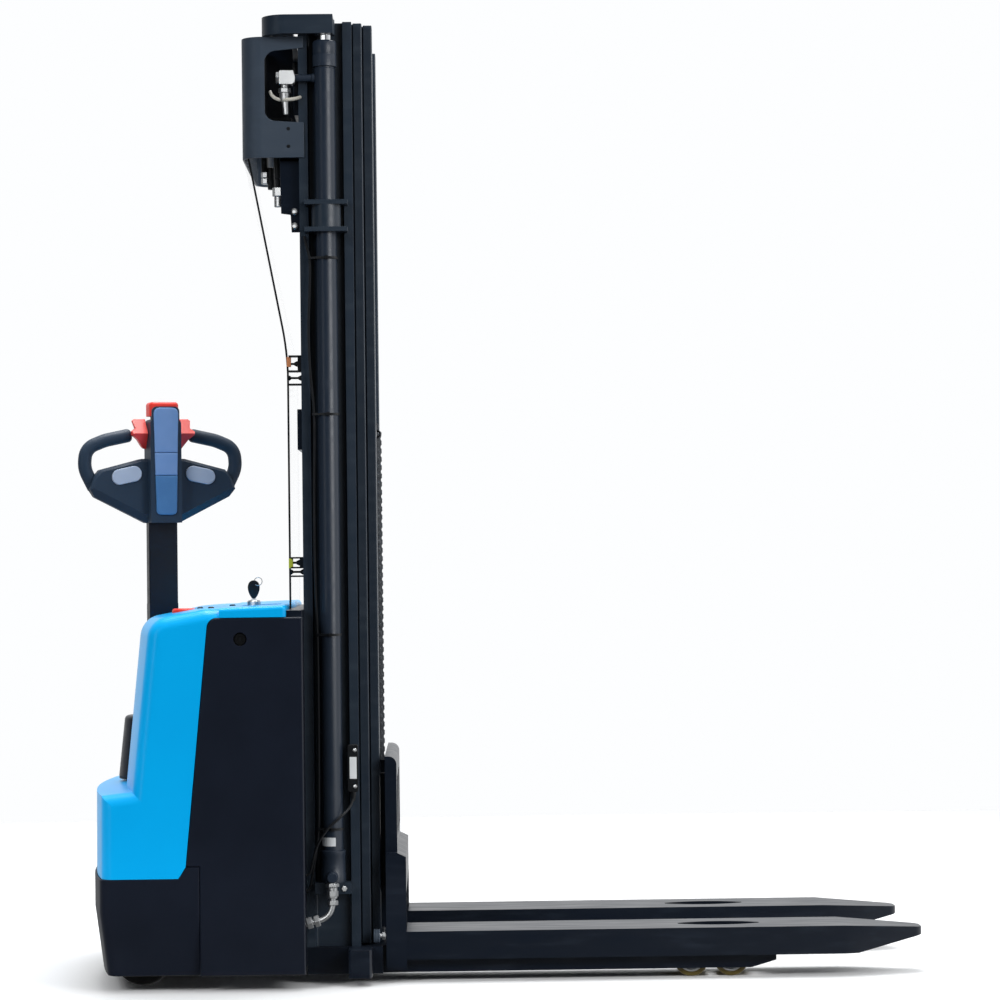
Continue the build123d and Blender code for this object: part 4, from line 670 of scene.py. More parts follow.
# %% Bleed block at the right head
bleed_x, bleed_y, half_block = -452, -cylinder_y, 14
bleed_outline = [(-464, 1988), (-434, 1988), (-429, 1993), (-428, 2004), (-432, 2019), (-461, 2019),
                 (-464, 2016)]
hanging_nuts = [(1989, 8, 10, round_bar), (1981, 14, 11, hexagon), (1971, 11, 20, round_bar)]
bleed = [plate(bleed_outline, 1, bleed_y - half_block, bleed_y + half_block),
         nut((-463, bleed_y, 2004), (-1, 0, 0), 14, 8)]
bleed += [nut((bleed_x, bleed_y, z), downwards, *size) for z, *size in hanging_nuts]
bleed.append(turned([(0, 8), (12, 7), (30, 6.2)], (bleed_x + 1, bleed_y, 1952), (0.05, 0, -1), round_bar))
piece("bleed_block", bleed, "chassis", "steel", 0.8, ["hydraulic_lines"])
stub = [turned([(0, 8), (40, 8)], (-430, bleed_y, 2003), (1, 0, 0), round_bar),
        nut((-392, bleed_y, 2003), (1, 0, 0), 10.5, 8, round_bar)]
piece("bleed_stub", stub, "chassis", "cylinder_paint", 0.4, ["hydraulic_lines"])
tube_start, tube_low, tube_end = (-486, -262, 1978), (-446, -303, 1954), (-418, -282, 1962)
tube_way = np.concatenate([bend(tube_start, (-476, -284, 1952), tube_low, 12)[:-1],
                           bend(tube_low, (-428, -300, 1955), tube_end, 10)])
tube = carried(tube_way, circle(4.0, 12), upwards)
piece("leak_off_tube", [tube], "chassis", "clear_screen", 0, (), "nylon_tube")
print("bleed block with", len(bleed) - 1, "turned fittings")

# %% [markdown]
# ## Hose guard and what hangs below it
# The guard is one sheet bent round the hoses, with a notch that leaves the bleed block free. It could be
# cut with a Boolean, but the notch is only two curves: along the bent sheet a sill rises and a lintel falls
# to meet the notch's upright end, and no faces are laid between them. Solidify gives the sheet its
# thickness. Below it hang the unions.

# %% Bent sheet with its notch
sheet_thick, guard_corner, straight_columns = 4.0, 45.0, 60
notch_from, notch_round, sill_rise, lintel_drop, sill_slope, lintel_slope = 52.0, 24.0, 83.0, 34.0, 0.06, 0.1
guard_low, guard_high = box_mm("hose_guard")


def guard_sheet():
    """Middle of the sheet, seen from above: straight sides at half a thickness inside the box, joined to
    the back by quarter turns (r sin a, r cos a). Four rows climb it: foot, sill, lintel and top. Sill and
    lintel leave a quarter circle r - sqrt(r^2 - (r - d)^2) at the notch's upright end, d being the way into
    the notch."""
    radius, side = guard_corner - sheet_thick / 2, guard_high[1] - sheet_thick / 2
    x = np.linspace(guard_high[0], guard_low[0] + guard_corner, straight_columns)
    a = np.linspace(0, np.pi / 2, 12)[1:]
    corner = np.stack([guard_low[0] + guard_corner - radius * np.sin(a),
                       side - radius + radius * np.cos(a)], -1)
    half_plan = np.concatenate([np.stack([x, np.full(straight_columns, side)], -1), corner])
    plan = np.concatenate([half_plan * (1, -1), half_plan[::-1]])
    inside = np.maximum(plan[:, 0] - guard_low[0] - notch_from, 0)
    rounding = notch_round - np.sqrt(notch_round ** 2 - np.clip(notch_round - inside, 0, notch_round) ** 2)
    sill = guard_low[2] + sill_rise + rounding - sill_slope * inside
    lintel = guard_high[2] - lintel_drop - rounding + lintel_slope * inside
    levels = [np.full(len(plan), guard_low[2]), sill, lintel, np.full(len(plan), guard_high[2])]
    sheet = np.stack([np.column_stack([plan, level]) for level in levels])
    number = np.arange(sheet[..., 0].size).reshape(len(levels), -1)
    quads = np.stack([number[:-1, :-1], number[:-1, 1:], number[1:, 1:], number[1:, :-1]], -1)
    in_notch = (np.arange(len(plan) - 1) < len(half_plan)) & (inside[1:] > 0)
    return sheet.reshape(-1, 3) * mm, [np.concatenate([quads[0], quads[1][~in_notch], quads[2]])]


guard = piece("hose_guard_plate", [guard_sheet()], "chassis", "black_paint", 0, ["hose_guard"], "guard_paint")
shell = guard.modifiers.new("plate", "SOLIDIFY")
shell.thickness = sheet_thick * mm
shell.offset = 0
round_edges(guard, 0.8)
baffle = block((guard_low[0] + 8, -200, guard_low[2] + 20), (-437, -196, guard_high[2] - 6))
piece("hose_baffle", [baffle], "chassis", "black_paint", 0.5)
hose_ways = [bend((-525, -230, 2070), (-520, -232, 1960), (-478, -232, 1850), 16),
             bend((-500, -222, 2075), (-505, -222, 1980), (-500, -222, 1850), 16)]
piece("guarded_hoses", [carried(way, circle(9)) for way in hose_ways], "chassis", "black_trim", 0)
print("guard of", len(guard.data.polygons), "faces")

# %% [markdown]
# ## Hose bracket and unions
# A stepped plate on the fixed rail carries two hose ends. Bolts are domes, hose ends are sleeves with a nut
# pressed on. They are seen small and from one side, so plain turned pieces are enough.


# %% Bracket below the guard
def dome(place, way, radius, height):
    """Dome-headed bolt: a rim of a quarter of the height, above which the radius falls as a quarter of an
    ellipse."""
    rise = np.linspace(0, 1, 7)[:-1]
    return turned([(0, radius), *zip(height * (0.25 + 0.75 * rise), radius * np.sqrt(1 - rise ** 2))],
                  place, way, round_bar)


bracket_y, flange_y = -262, -256
bracket_outline = [(rail_rear_x, 1664), (-441, 1664), (-443, 1703), (-464, 1706), (-466, 1842),
                   (rail_rear_x, 1842)]
bracket = [plate(bracket_outline, 1, bracket_y, flange_y),
           block((-466, bracket_y, 1822), (rail_rear_x, -210, 1828))]
piece("hose_bracket", bracket, "chassis", "black_paint", 0.8)
bolts = [dome((-433.5, bracket_y, z), (0, -1, 0), 8, 6) for z in (1710, 1678)]
piece("bracket_bolts", bolts, "chassis", "steel", 0)
far_union, near_union = (-505, -150), (-472, -225)
unions = [nut((*far_union, 1812), downwards, 9, 13), nut((*far_union, 1798), downwards, 9, 13),
          nut((*near_union, 1768), downwards, 13, 20), nut((*near_union, 1748), downwards, 9, 24, round_bar)]
piece("hose_unions", unions, "chassis", "steel", 0.4)
sleeves = [turned([(0, 9), (130, 9), (132, 7), (150, 7)], (*near_union, 1918), downwards, round_bar),
           turned([(0, 8), (110, 8)], (*far_union, 1922), downwards, round_bar),
           nut((-490, -150, 1822), downwards, 9, 50, round_bar),
           block((-520, -228, 1918), (-440, -140, 1924))]
piece("hose_sleeves", sleeves, "chassis", "black_trim", 0.4)
print("bracket,", len(unions), "unions,", len(bolts), "bolts")

# %% [markdown]
# ## Cables
# Two thin cables run down beside the right cylinder, from the mast's bracket and from the height sensor. A
# cable is a smooth line with a round skin. It could be carried like a pipe, but a NURBS curve needs only
# loose control points and keeps its line free to move.

# %% Cables
cable_radius = 3


def cable(name, route):
    """NURBS curve of order 3 with the route's points in mm as control points, as thick as the cable."""
    curve = bpy.data.curves.new(name, "CURVE")
    curve.dimensions = "3D"
    curve.bevel_depth = cable_radius * mm
    curve.bevel_resolution = 3
    line = curve.splines.new("NURBS")
    line.points.add(len(route) - 1)
    line.points.foreach_set("co", np.column_stack([np.array(route) * mm, np.ones(len(route))]).ravel())
    line.order_u = 3
    line.use_endpoint_u = True
    line.resolution_u = 8
    curve.materials.append(finishes["black_trim"])
    made = bpy.data.objects.new(name, curve)
    bpy.context.scene.collection.objects.link(made)
    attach(made, "chassis")
    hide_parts("cables")


mast_route = [
    (-412, -284.5, 1652), (-408, -290, 1632), (-399, -297, 1604), (-400, -298, 1540), (-405, -299, 1440),
    (-401, -298, 1340), (-392, -301, 1257), (-396, -299, 1100), (-396, -299, 900), (-391, -301, 770),
    (-391, -301, 600), (-392, -301, 420), (-393, -301, 342), (-399, -298, 290), (-409, -298, 237),
    (-413.5, -300, 208), (rail_rear_x, -300, 208),
]
sensor_route = [
    (-317, -290, 423), (-317, -290, 408), (-324, -303, 388), (-346, -322, 368), (-374, -325, 345),
    (-398, -320, 308), (-408, -312, 266), (-413.5, -308, 242), (rail_rear_x, -308, 242),
]
cable("mast_cable", mast_route)
cable("sensor_cable", sensor_route)
print("cables of", len(mast_route), "and", len(sensor_route), "points")

# %% [markdown]
# ## Straps
# Nylon straps hold the cable against the barrel. A ring of points round the barrel would cut through the
# cable, and a cloth solver would be slow for so small a thing. The outer of two circles in every direction
# is what a pulled strap follows closely enough.

# %% Straps round barrel and cable
strap_on_barrel, strap_on_cable, strap_thick, half_strap = 23.3, 3.3, 1.6, 2.6


def strap(z, at):
    """In each direction the point of the barrel's or the cable's circle, whichever reaches further, plus a
    thickness."""
    way = circle(1.0, 72)
    barrel, line = np.array((cylinder_x, -cylinder_y)), np.array(at)
    on_cable = ((way @ (line - barrel)) + strap_on_cable > strap_on_barrel)[:, None]
    inner, outer = (np.where(on_cable, line + (strap_on_cable + t) * way,
                             barrel + (strap_on_barrel + t) * way) for t in (0.0, strap_thick))
    low, high = z - half_strap, z + half_strap
    rows = ((inner, low), (outer, low), (outer, high), (inner, high))
    return skin(np.stack([np.insert(ring, 2, level, axis=1) for ring, level in rows]) * mm, looped=True)


strap_places = {1603: (-399, -297), 1257: (-394, -300.5), 770: (-392, -300.5), 342: (-393.5, -300.5)}
straps = [strap(z, at) for z, at in strap_places.items()]
heads = [block((-366, -320, z - 4), (-359, -314.6, z + 4)) for z in strap_places]
piece("cable_straps", straps + heads, "chassis", "black_trim", 0.3)
print(len(straps), "straps")

# %% [markdown]
# ## Height sensor
# A black block on the rail with two screws, a blank pale plate and a soft boot where its cable leaves. A
# second blank plate is wrapped round the barrel: a small grid whose rows go round by angle and whose
# columns are its section.

# %% Sensor trim
sensor_low, sensor_high = box_mm("height_sensor")
sensor_x, sensor_y, _ = (sensor_low + sensor_high) / 2
sensor_face_y, screw_inset, screw_back = sensor_low[1], 12, 7
screws = [dome((sensor_high[0] - screw_back, sensor_face_y, z), (0, -1, 0), 4.6, 2.4)
          for z in (sensor_high[2] - screw_inset, sensor_low[2] + screw_inset)]
piece("sensor_screws", screws, "chassis", "steel", 0)
sensor_plate = block((-324, sensor_face_y - 0.8, 452), (-308.5, sensor_face_y + 0.4, 500))
piece("sensor_plate", [sensor_plate], "chassis", "steel", 0.3, (), "plate_foil")
around = np.radians(np.linspace(-172, -72, 14))[:, None]
radius, level = np.array([(23.05, 305.0), (23.4, 305.0), (23.4, 324.0), (23.05, 324.0)]).T
wrapped = np.stack([cylinder_x + radius * np.cos(around), -cylinder_y + radius * np.sin(around),
                    level + 0 * around], -1)
piece("barrel_plate", [skin(wrapped * mm)], "chassis", "steel", 0, (), "plate_foil")
boot_profile = [(0, 6.5), (6, 6.5), (16, 4.8), (22, 3.6)]
boot = turned(boot_profile, (sensor_x, sensor_y, sensor_low[2] + 1), downwards, round_bar)
piece("sensor_boot", [boot], "chassis", "black_trim", 0.3)
print("sensor with", len(screws), "screws")

# %% [markdown]
# ## Screen edge
# The driver's screen is a clear sheet seen edge on, so its cut edge shows as a dark line: light entering
# the sheet is trapped in it. Black edging carried along the sheet's bend on the right gives that line.

# %% Edging of the clear screen
screen_low, screen_high = box_mm("screen")
half_screen, screen_bend_z, edging_y = 2, 1395, -236.5
foot, knee, top = np.array([(screen_high[0] - half_screen, edging_y, screen_low[2]),
                            (screen_high[0] - half_screen, edging_y, screen_bend_z),
                            (screen_low[0] + half_screen, edging_y, screen_high[2])])
edge_line = np.concatenate([[foot], bend(knee - (0, 0, 60), knee, knee + (top - knee) * 0.13, 8), [top]])
edging = carried(edge_line, [(-2.2, -1.6), (2.2, -1.6), (2.2, 1.6), (-2.2, 1.6)])
piece("screen_edging", [edging], "chassis", "black_trim", 0.3)
print("edging along", len(edge_line), "points")

# %% [markdown]
# ## Screen clips
# Each clip is a folded bracket of three shelves with rubber bobbins that hold the sheet off the rail.
# Folding it from a sheet would show no difference at this size, so shelves and web are blocks. Two clips
# have a bright end cap.

# %% Screen clips
clip_y, half_clip, half_shelf, left_clip_back = 234, 15, 1.8, 8


def clip(y, z, height):
    """Three shelves towards the sheet, a web on the rail, and two bobbins on bolts between them. Left clips
    are short."""
    x0, x1 = screen_high[0] + (0 if y < 0 else left_clip_back), rail_rear_x
    low, middle, high = z + 1.5, z + 0.47 * height, z + height - 1.5
    shelves = [block((x0, y - half_clip, level - half_shelf), (x1, y + half_clip, level + half_shelf))
               for level in (low, middle, high)]
    web = block((x1 - 9, y - half_clip, middle), (x1, y + half_clip, high))
    bobbins = []
    for level, reach in (((middle + high) / 2, 9), ((low + middle) / 2, 0)):
        bobbins += [turned([(0, 7), (3, 6), (8, 3.5)], (x1 - reach, y, level), (-1, 0, 0), 20),
                    turned([(0, 5.5), (2, 5.5), (5, 3)], (x0, y, level), (1, 0, 0), 20),
                    turned([(0, 2.5), (x1 - x0, 2.5)], (x0, y, level), (1, 0, 0), 12)]
    return shelves + [web] + bobbins


clips = []
for y in (-clip_y, clip_y):
    clips += clip(y, 1325, 66) + clip(y, 898, 44)
piece("screen_clips_dressed", clips, "chassis", "black_trim", 0.4, ["screen_clips"])
for tone, z in (("orange_cap", 1366), ("yellow_cap", 917)):
    cap = block((screen_high[0] - 4.5, -242, z), (screen_high[0] + 5, -230, z + 22))
    piece("clip_" + tone, [cap], "chassis", "roller_polyurethane", 0.8, (), tone)
print(len(clips), "skins in the clips")

# %% [markdown]
# ## Guard screws
# The hose guard is held by bolts at its back and by rivets at its sides. Both are the same turned dome,
# high or low.

# %% Screws of the hose guard
screws = [dome((guard_low[0], y, 2058), (-1, 0, 0), 6.5, 5) for y in (-150, 150)]
piece("guard_bolts", screws, "chassis", "steel", 0)
rivets = [dome((-445, y, z), (0, np.sign(y), 0), 4.0, 1.2)
          for y in (guard_low[1], guard_high[1]) for z in (1892, 1853)]
piece("guard_rivets", rivets, "chassis", "black_trim", 0)
print(len(screws) + len(rivets), "screws on the guard")

# %% [markdown]
# ## Leaf chain
# A leaf chain is plates and pins only: each plate is pinched at the waist, three and two of them lie side
# by side in turn, and a pin goes through every joint. One plate outline and one pin are worked out, then
# repeated down the run by adding whole arrays of places. Over the pulley the same plates are turned about
# its axle.

# %% Plates and pins
pitch, plate_height, plate_thick, plate_gap, waist, edge_points = 19.05, 20.0, 3.2, 0.15, 6.5, 9
front_run_x, rear_run_x, front_run_end_z, rear_run_end_z = -260.0, -354.0, 470.0, 1010.0
(pulley_x, _, pulley_z), _ = hinge("chain_pulley")
pulley_radius = 45.0


def leaf_outline():
    """Up one edge and down the other, with s from -1 to 1 and the height going as sin(s pi / 2). Past a pin
    the half width is that of the round end, sqrt(r^2 - d^2); between the pins it is a parabola about the
    waist."""
    s = np.concatenate([np.linspace(-1, 1, edge_points), np.linspace(1, -1, edge_points)[1:-1]])
    upright = np.sin(np.pi / 2 * s) * (pitch + plate_height) / 2
    past_pin = np.clip(np.abs(upright) - pitch / 2, 0, plate_height / 2)
    round_end = np.sqrt((plate_height / 2) ** 2 - past_pin ** 2)
    pinched = waist + (plate_height / 2 - waist) * (2 * upright / pitch) ** 2
    half = np.maximum(np.where(past_pin > 0, round_end, pinched), 0.6)
    return np.stack([np.where(np.arange(len(s)) < edge_points, half, -half), upright], -1)


leaf = plate(leaf_outline(), 1, -plate_thick / 2 + plate_gap, plate_thick / 2 - plate_gap)
pin = turned([(0, 3.6), (0.6, 4.2), (17.4, 4.2), (18, 3.6)], (0, -9, 0), (0, 1, 0), 10)


def chain_run(x, top, bottom):
    """Straight run: outer joints of three plates and inner joints of two in turn, one pitch apart, a pin at
    each joint."""
    links = int((top - bottom) / pitch)
    level = top - pitch * np.arange(links + 1)
    middle = level[:-1] - pitch / 2
    lanes = [(np.array((-2, 0, 2)), middle[0::2]), (np.array((-1, 1)), middle[1::2])]
    places = np.concatenate([np.stack([np.full(len(lane) * len(rows), x),
                                       np.repeat(lane * plate_thick, len(rows)),
                                       np.tile(rows, len(lane))], -1) for lane, rows in lanes])
    joints = np.stack([np.full(links + 1, x), np.zeros(links + 1), level], -1)
    return [repeated(leaf, places), repeated(pin, joints)]


front_run = chain_run(front_run_x, pulley_z, front_run_end_z)
front = piece("chain_front_run", front_run, "free_lift", "chain_steel", 0, ["chain_front"])
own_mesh(front)
print(len(front.data.polygons), "faces in the front run")

# %% [markdown]
# ## Chain over the pulley
# When the carriage rises the front run gets shorter, and the rear run, which ends on the inner stage, has its
# top go up with the pulley. Here the front run rides on the free lift stage, and the rear run stays as it
# stands at rest. The half turn over the pulley rides with it, each plate turned about the axle by its own
# angle.


# %% Over the pulley and down to the anchor
def wrapped_run(count):
    """Plates turned about the pulley's axle in equal steps through half a turn, each standing off by the
    pitch radius."""
    a, b = np.pi * (np.arange(count) + 0.5) / count, np.pi * np.arange(count + 1) / count
    points, groups = leaf
    lanes = np.where(np.arange(count) % 2, 1.0, 2.0)[:, None] * plate_thick
    x, y, z = points.T / mm
    turned_x = pulley_x + np.outer(np.cos(a), pulley_radius + x) - np.outer(np.sin(a), z)
    turned_z = pulley_z + np.outer(np.sin(a), pulley_radius + x) + np.outer(np.cos(a), z)
    faces = numbered_on(groups, count, len(points))
    runs = [(np.stack([turned_x, y + lane * lanes, turned_z], -1).reshape(-1, 3) * mm, faces)
            for lane in (-1, 1)]
    pins = np.stack([pulley_x + pulley_radius * np.cos(b), 0 * b, pulley_z + pulley_radius * np.sin(b)], -1)
    return runs + [repeated(pin, pins)]


piece("chain_over_pulley", wrapped_run(7), "free_lift", "chain_steel", 0, ["chain_front"])
rear_run = chain_run(rear_run_x, pulley_z, rear_run_end_z)
rear = piece("chain_rear_run", rear_run, None, "chain_steel", 0, ["chain_rear"])
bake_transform(rear)
print(len(rear.data.polygons), "faces in the rear run")

# %% [markdown]
# ## Stops and bolts on the carriage and castors
# Each fork heel carries a stop: a knurled grey head on a threaded stem with a lock nut. Hex nuts hold the
# castors' axles. All of it is lathe work, round or six-sided.

# %% Carriage stops and axle nuts
backwards = (-1, 0, 0)
stop_y, stop_z, axle_end = 279.5, 103, 37.5
stops, heads = [], []
rib_height = np.linspace(1, 14, 9)
rib_radius = np.where(np.arange(9) % 2, 15.5, 14.3)
head_profile = np.concatenate([[(0, 9)], np.stack([rib_height, rib_radius], -1), [(15, 9)]])
for y in (-stop_y, stop_y):
    stops += [nut((-247.5, y, stop_z), backwards, 5, 20, 20), nut((-249, y, stop_z), backwards, 9.5, 8)]
    heads.append(turned(head_profile, (-261, y, stop_z), backwards, 28))
piece("stop_stems", stops, "fork_carriage", "steel", 0.3)
piece("stop_heads", heads, "fork_carriage", "black_trim", 0, (), "guard_paint")
for side, _ in both_sides:
    centre, axle = hinge("castor_wheel_" + side)
    nuts = [nut(centre + way * axle_end * axle, way * axle, 10, 7) for way in (-1, 1)]
    piece("castor_axle_nuts_" + side, nuts, "castor_" + side, "steel", 0.3)
print(len(stops) + len(heads), "skins in the stops")

# %% [markdown]
# ## Wheels and rollers
# A solid wheel is a tyre cast or pressed onto a hub. Tyre and hub are different materials, so they are two
# turned rings: a closed profile carried round the axle leaves the bore open. The shoulders are rounded in
# the profile itself. All wheels stand on the floor, so a wheel's radius is the height of its axle.


# %% Tyre and hub
def mirrored(profile):
    """A profile of (height, radius) followed by its mirror image at the other face of the wheel."""
    return np.concatenate([profile, np.array(profile)[::-1] * (-1, 1)])


def wheel(node, width, bore, rim, tyre_slot, hub_slot, bolts=0, bolt_circle=0.0):
    """Tyre from rim to tread and hub from bore to rim, each a closed profile about the axle, with bolts on
    both faces. The tread's shoulder is a quarter circle (r sin t, r cos t)."""
    body = body_of_node[node]
    centre, axle = hinge(body)
    half, radius = width / 2, centre[2]
    shoulder, t = (radius - rim) * 0.35, np.linspace(1.57, 0, 6)
    rounded = np.stack([half - shoulder * (1 - np.sin(t)), radius - shoulder * (1 - np.cos(t))], -1)
    tread = mirrored(np.concatenate([[(half - 1, rim)], rounded]))
    piece(node + "_tyre", [turned(tread, centre, axle, 64, looped=True)], body, tyre_slot, 0, [node])
    face, dish, boss = half - 2, half - 7, min(bore * 2.2, rim - 8)
    hub_profile = mirrored([(face, bore), (face, boss), (dish, boss + 1), (dish, rim - 7), (face, rim - 4),
                            (face, rim + 0.2)])
    hub = [turned(hub_profile, centre, axle, 48, looped=True)]
    across = np.cross(upwards, axle)
    for angle in np.arange(bolts) * 2 * np.pi / max(bolts, 1):
        at = centre + bolt_circle * (np.cos(angle) * across + np.sin(angle) * np.array(upwards))
        hub += [nut(at + axle * dish * end, axle * end, 8, 6) for end in (-1, 1)]
    piece(node + "_hub", hub, body, hub_slot, 0.4, [node])


wheel("drive_wheel", 75, 20.05, 86, "tyre_rubber", "drive_casting", 5, 62)
for side, _ in both_sides:
    wheel("castor_wheel_" + side, 48, 7.05, 46, "tyre_rubber", "black_trim")
for place in ("rear", "front"):
    for side, _ in both_sides:
        wheel(f"load_roller_{place}_{side}", 96, 10.05, 29, "roller_polyurethane", "steel")
print("seven wheels turned")

# %% [markdown]
# ## Tiller strip
# The cover strip on the tiller's head is three mouldings end to end: two greyer upper ones and a deeper
# blue one. Its face is a little proud and its corners are round. A bevelled box would have the same edge
# all round, so the outline is worked out with its own corner radii, and rows of it are drawn in towards the
# face.

# %% Cover strip of the head
strip_foot_z, strip_top_z, half_foot, half_top = 1042, 1287, 24, 29
low_seam_z, high_seam_z, half_seam = 1132, 1184, 0.4
foot_corner, top_corner, seam_corner, full_draw = 9, 13, 1.2, 40
strip_rows = ((1.0, -50.0), (1.0, -53.2), (0.985, -54.2), (0.955, -54.8), (0.9, -55.0), (0.6, -55.0))
(tiller_x, _, _), across_tiller = hinge("drive_wheel")


def on_tiller(points):
    """Points in mm of the tiller seen straight on (across, outwards, up) turned to where it stands at rest,
    with its across direction (c, s) along the drive wheel's axle and its outward one (-s, c)."""
    across, out, up = np.moveaxis(np.array(points, float), -1, 0)
    c, s, _ = across_tiller
    return np.stack([across * c - out * s + tiller_x, across * s + out * c, up], -1)


def strip_part(z0, z1):
    """Rounded rectangle whose half width grows evenly from the strip's foot to its top: four corners of x +
    r cos a and z + r sin a. Each row stands further out, and its edge is drawn in by 1 - share of the full
    draw."""
    turns = np.radians([0, 30, 60, 90])
    spread, rise = half_top - half_foot, strip_top_z - strip_foot_z
    low, high = (half_foot + spread * (z - strip_foot_z) / rise - half_seam for z in (z0, z1))
    r0 = foot_corner if z0 == strip_foot_z else seam_corner
    r1 = top_corner if z1 == strip_top_z else seam_corner
    corners = np.array([(low - r0, z0 + r0, r0, -90), (high - r1, z1 - r1, r1, 0),
                        (r1 - high, z1 - r1, r1, 90), (r0 - low, z0 + r0, r0, 180)])
    x, z, r, start = corners.T[:, :, None]
    a = turns + np.radians(start)
    ring = np.stack([x + r * np.cos(a), z + r * np.sin(a)], -1).reshape(-1, 2)
    middle = ring.mean(0)
    reach = full_draw / np.abs(ring - middle).max(0)
    rows = [np.insert(middle + (ring - middle) * (1 - (1 - share) * reach), 1, out, axis=1)
            for share, out in strip_rows]
    return skin(on_tiller(np.stack(rows)) * mm)


upper = [strip_part(low_seam_z + half_seam, high_seam_z - half_seam),
         strip_part(high_seam_z + half_seam, strip_top_z)]
piece("head_strip_upper", upper, "tiller", "strip_grey", 0, ["head_strip"])
lower = [strip_part(strip_foot_z, low_seam_z - half_seam)]
piece("head_strip_lower", lower, "tiller", "strip_grey", 0, ["head_strip"], "strip_deep")
print("strip of three mouldings")

# %% [markdown]
# ## Key
# The key has a black grip moulded over a steel blade, and a ring through it. The grip is an egg whose rows
# are drawn in at both faces, the ring is a wire carried along a closed path.

# %% Key with its ring
(key_x, key_y, _), _ = hinge("key")
socket_top, grip_z, ring_z = box_mm("key_switch")[1, 2], 870, 888
blade = [turned([(829, 8), (socket_top, 8), (socket_top + 1, 7)], (key_x, key_y, 0), sides=32),
         block((key_x - 5, key_y - 1.5, socket_top), (key_x + 5, key_y + 1.5, 868))]
piece("key_blade", blade, "key", "steel", 0.3, ["key"])
a = np.arange(28) * 2 * np.pi / 28
# The grip is an egg: its half width 13 + 3.5 sin a grows upwards. Rows from face to face round its edge.
grip_middle = np.array((key_x, grip_z))
grip = np.stack([key_x + (13 + 3.5 * np.sin(a)) * np.cos(a), grip_z + 21 * np.sin(a)], -1)
grip_rows = ((0.86, -4.5), (0.96, -4.0), (1.0, -2.6), (1.0, 2.6), (0.96, 4.0), (0.86, 4.5))
rows = [np.insert(grip_middle + (grip - grip_middle) * share, 1, key_y + y, axis=1) for share, y in grip_rows]
piece("key_grip", [skin(np.stack(rows) * mm)], "key", "black_trim", 0, ["key"])
ring_path = np.stack([key_x + 10 + 9 * np.cos(a), key_y + 5 * np.sin(a), ring_z + 9 * np.sin(a)], -1)
piece("key_ring", [carried(ring_path, circle(0.9, 8), closed=True)], "key", "steel", 0)
print("key of blade, grip and ring")

# %% [markdown]
# ## Panel locks and deck caps
# The side panels are held by a cam lock in a round hole, a little sunk and slotted for its key. The lock is
# coloured near full black: painted shade of the hole it sits in. Small black caps close the screw holes of
# the covers. A ray dropped on the cover finds the height at which each cap sits.

# %% Locks and caps
lock_x, lock_z, panel_y = -556.5, 765, box_mm("side_panel_left")[1, 1]
lock_profile = [(0, 13.4), (14, 13.4), (15, 12.6), (15, 6.5), (13.6, 6), (13.6, 0.4)]
locks, slots = [], []
for sign in (-1, 1):
    locks.append(turned(lock_profile, (lock_x, sign * (panel_y - 19), lock_z), (0, sign, 0), 32))
    slot_low, slot_high = sorted((sign * (panel_y - 6), sign * (panel_y - 4.8)))
    slots.append(block((lock_x - 1.5, slot_low, lock_z - 5), (lock_x + 1.5, slot_high, lock_z + 5)))
# The locks' colour is near full black: painted shade of their holes.
piece("panel_locks", locks, "chassis", "black_trim", 0.3, finish="lock_black_painted_shade")
piece("lock_slots", slots, "chassis", "black_trim", 0)
caps, ray_start_z = [], 2000
bpy.context.view_layer.update()
for node, x, y in (("rear_cover", -652, -265), ("rear_cover", -628, -265), ("deck_cover", -590, -120)):
    cover = bpy.data.objects[node + "_dressed"]
    spot = np.array(cover.ray_cast((x * mm, y * mm, ray_start_z * mm), downwards)[1]) / mm
    caps.append(dome(spot - (0, 0, 1), upwards, 7, 5))
piece("deck_caps", caps, "chassis", "black_trim", 0)
print(len(locks), "locks and", len(caps), "caps, the last at a height of", round(spot[2]))

# %% [markdown]
# ## Floor
# The photograph is a studio cut-out on white. A pale floor under the machine takes a soft shadow, and is
# kept out of the gloss so that black paint stays black. Places from here on are in metres.


# %% Pale floor
def floor_plate(x0, x1, y0, y1):
    """Flat rectangle at the floor's height: the four corners of two spans."""
    mesh = bpy.data.meshes.new("floor")
    mesh.from_pydata([(x0, y0, 0.0), (x1, y0, 0.0), (x1, y1, 0.0), (x0, y1, 0.0)], [], [(0, 1, 2, 3)])
    floor = bpy.data.objects.new("floor", mesh)
    bpy.context.scene.collection.objects.link(floor)
    # Matt studio paper: an even pale ground that takes a soft shadow and mirrors nothing.
    finish, _, shader, _ = new_finish("pale_floor")
    fill(shader, {"Base Color": linear("#F2F3F4"), "Roughness": 0.7})
    mesh.materials.append(finish)
    floor.visible_glossy = False


floor_plate(-4.0, 4.0, -0.75, 4.0)
print("floor of 8 m by 4.75 m")

# %% [markdown]
# ## Soft light
# The light is broad and soft from all sides, a little stronger from above. Sun lamps would draw hard
# shadows, so large area lights stand well off. The two key lights are not seen in gloss.


# %% Soft studio light
def soft_box(name, place, aim, size, power, in_gloss=True):
    """Area light of a width and a height at a place, turned so that its face looks at an aim, seen in gloss
    or not."""
    data = bpy.data.lights.new(name, "AREA")
    data.shape = "RECTANGLE"
    data.size, data.size_y = size
    data.energy = power
    lamp = bpy.data.objects.new(name, data)
    lamp.location = place
    lamp.rotation_euler = (Vector(aim) - Vector(place)).to_track_quat("-Z", "Y").to_euler()
    lamp.visible_glossy = in_gloss
    bpy.context.scene.collection.objects.link(lamp)
    return lamp


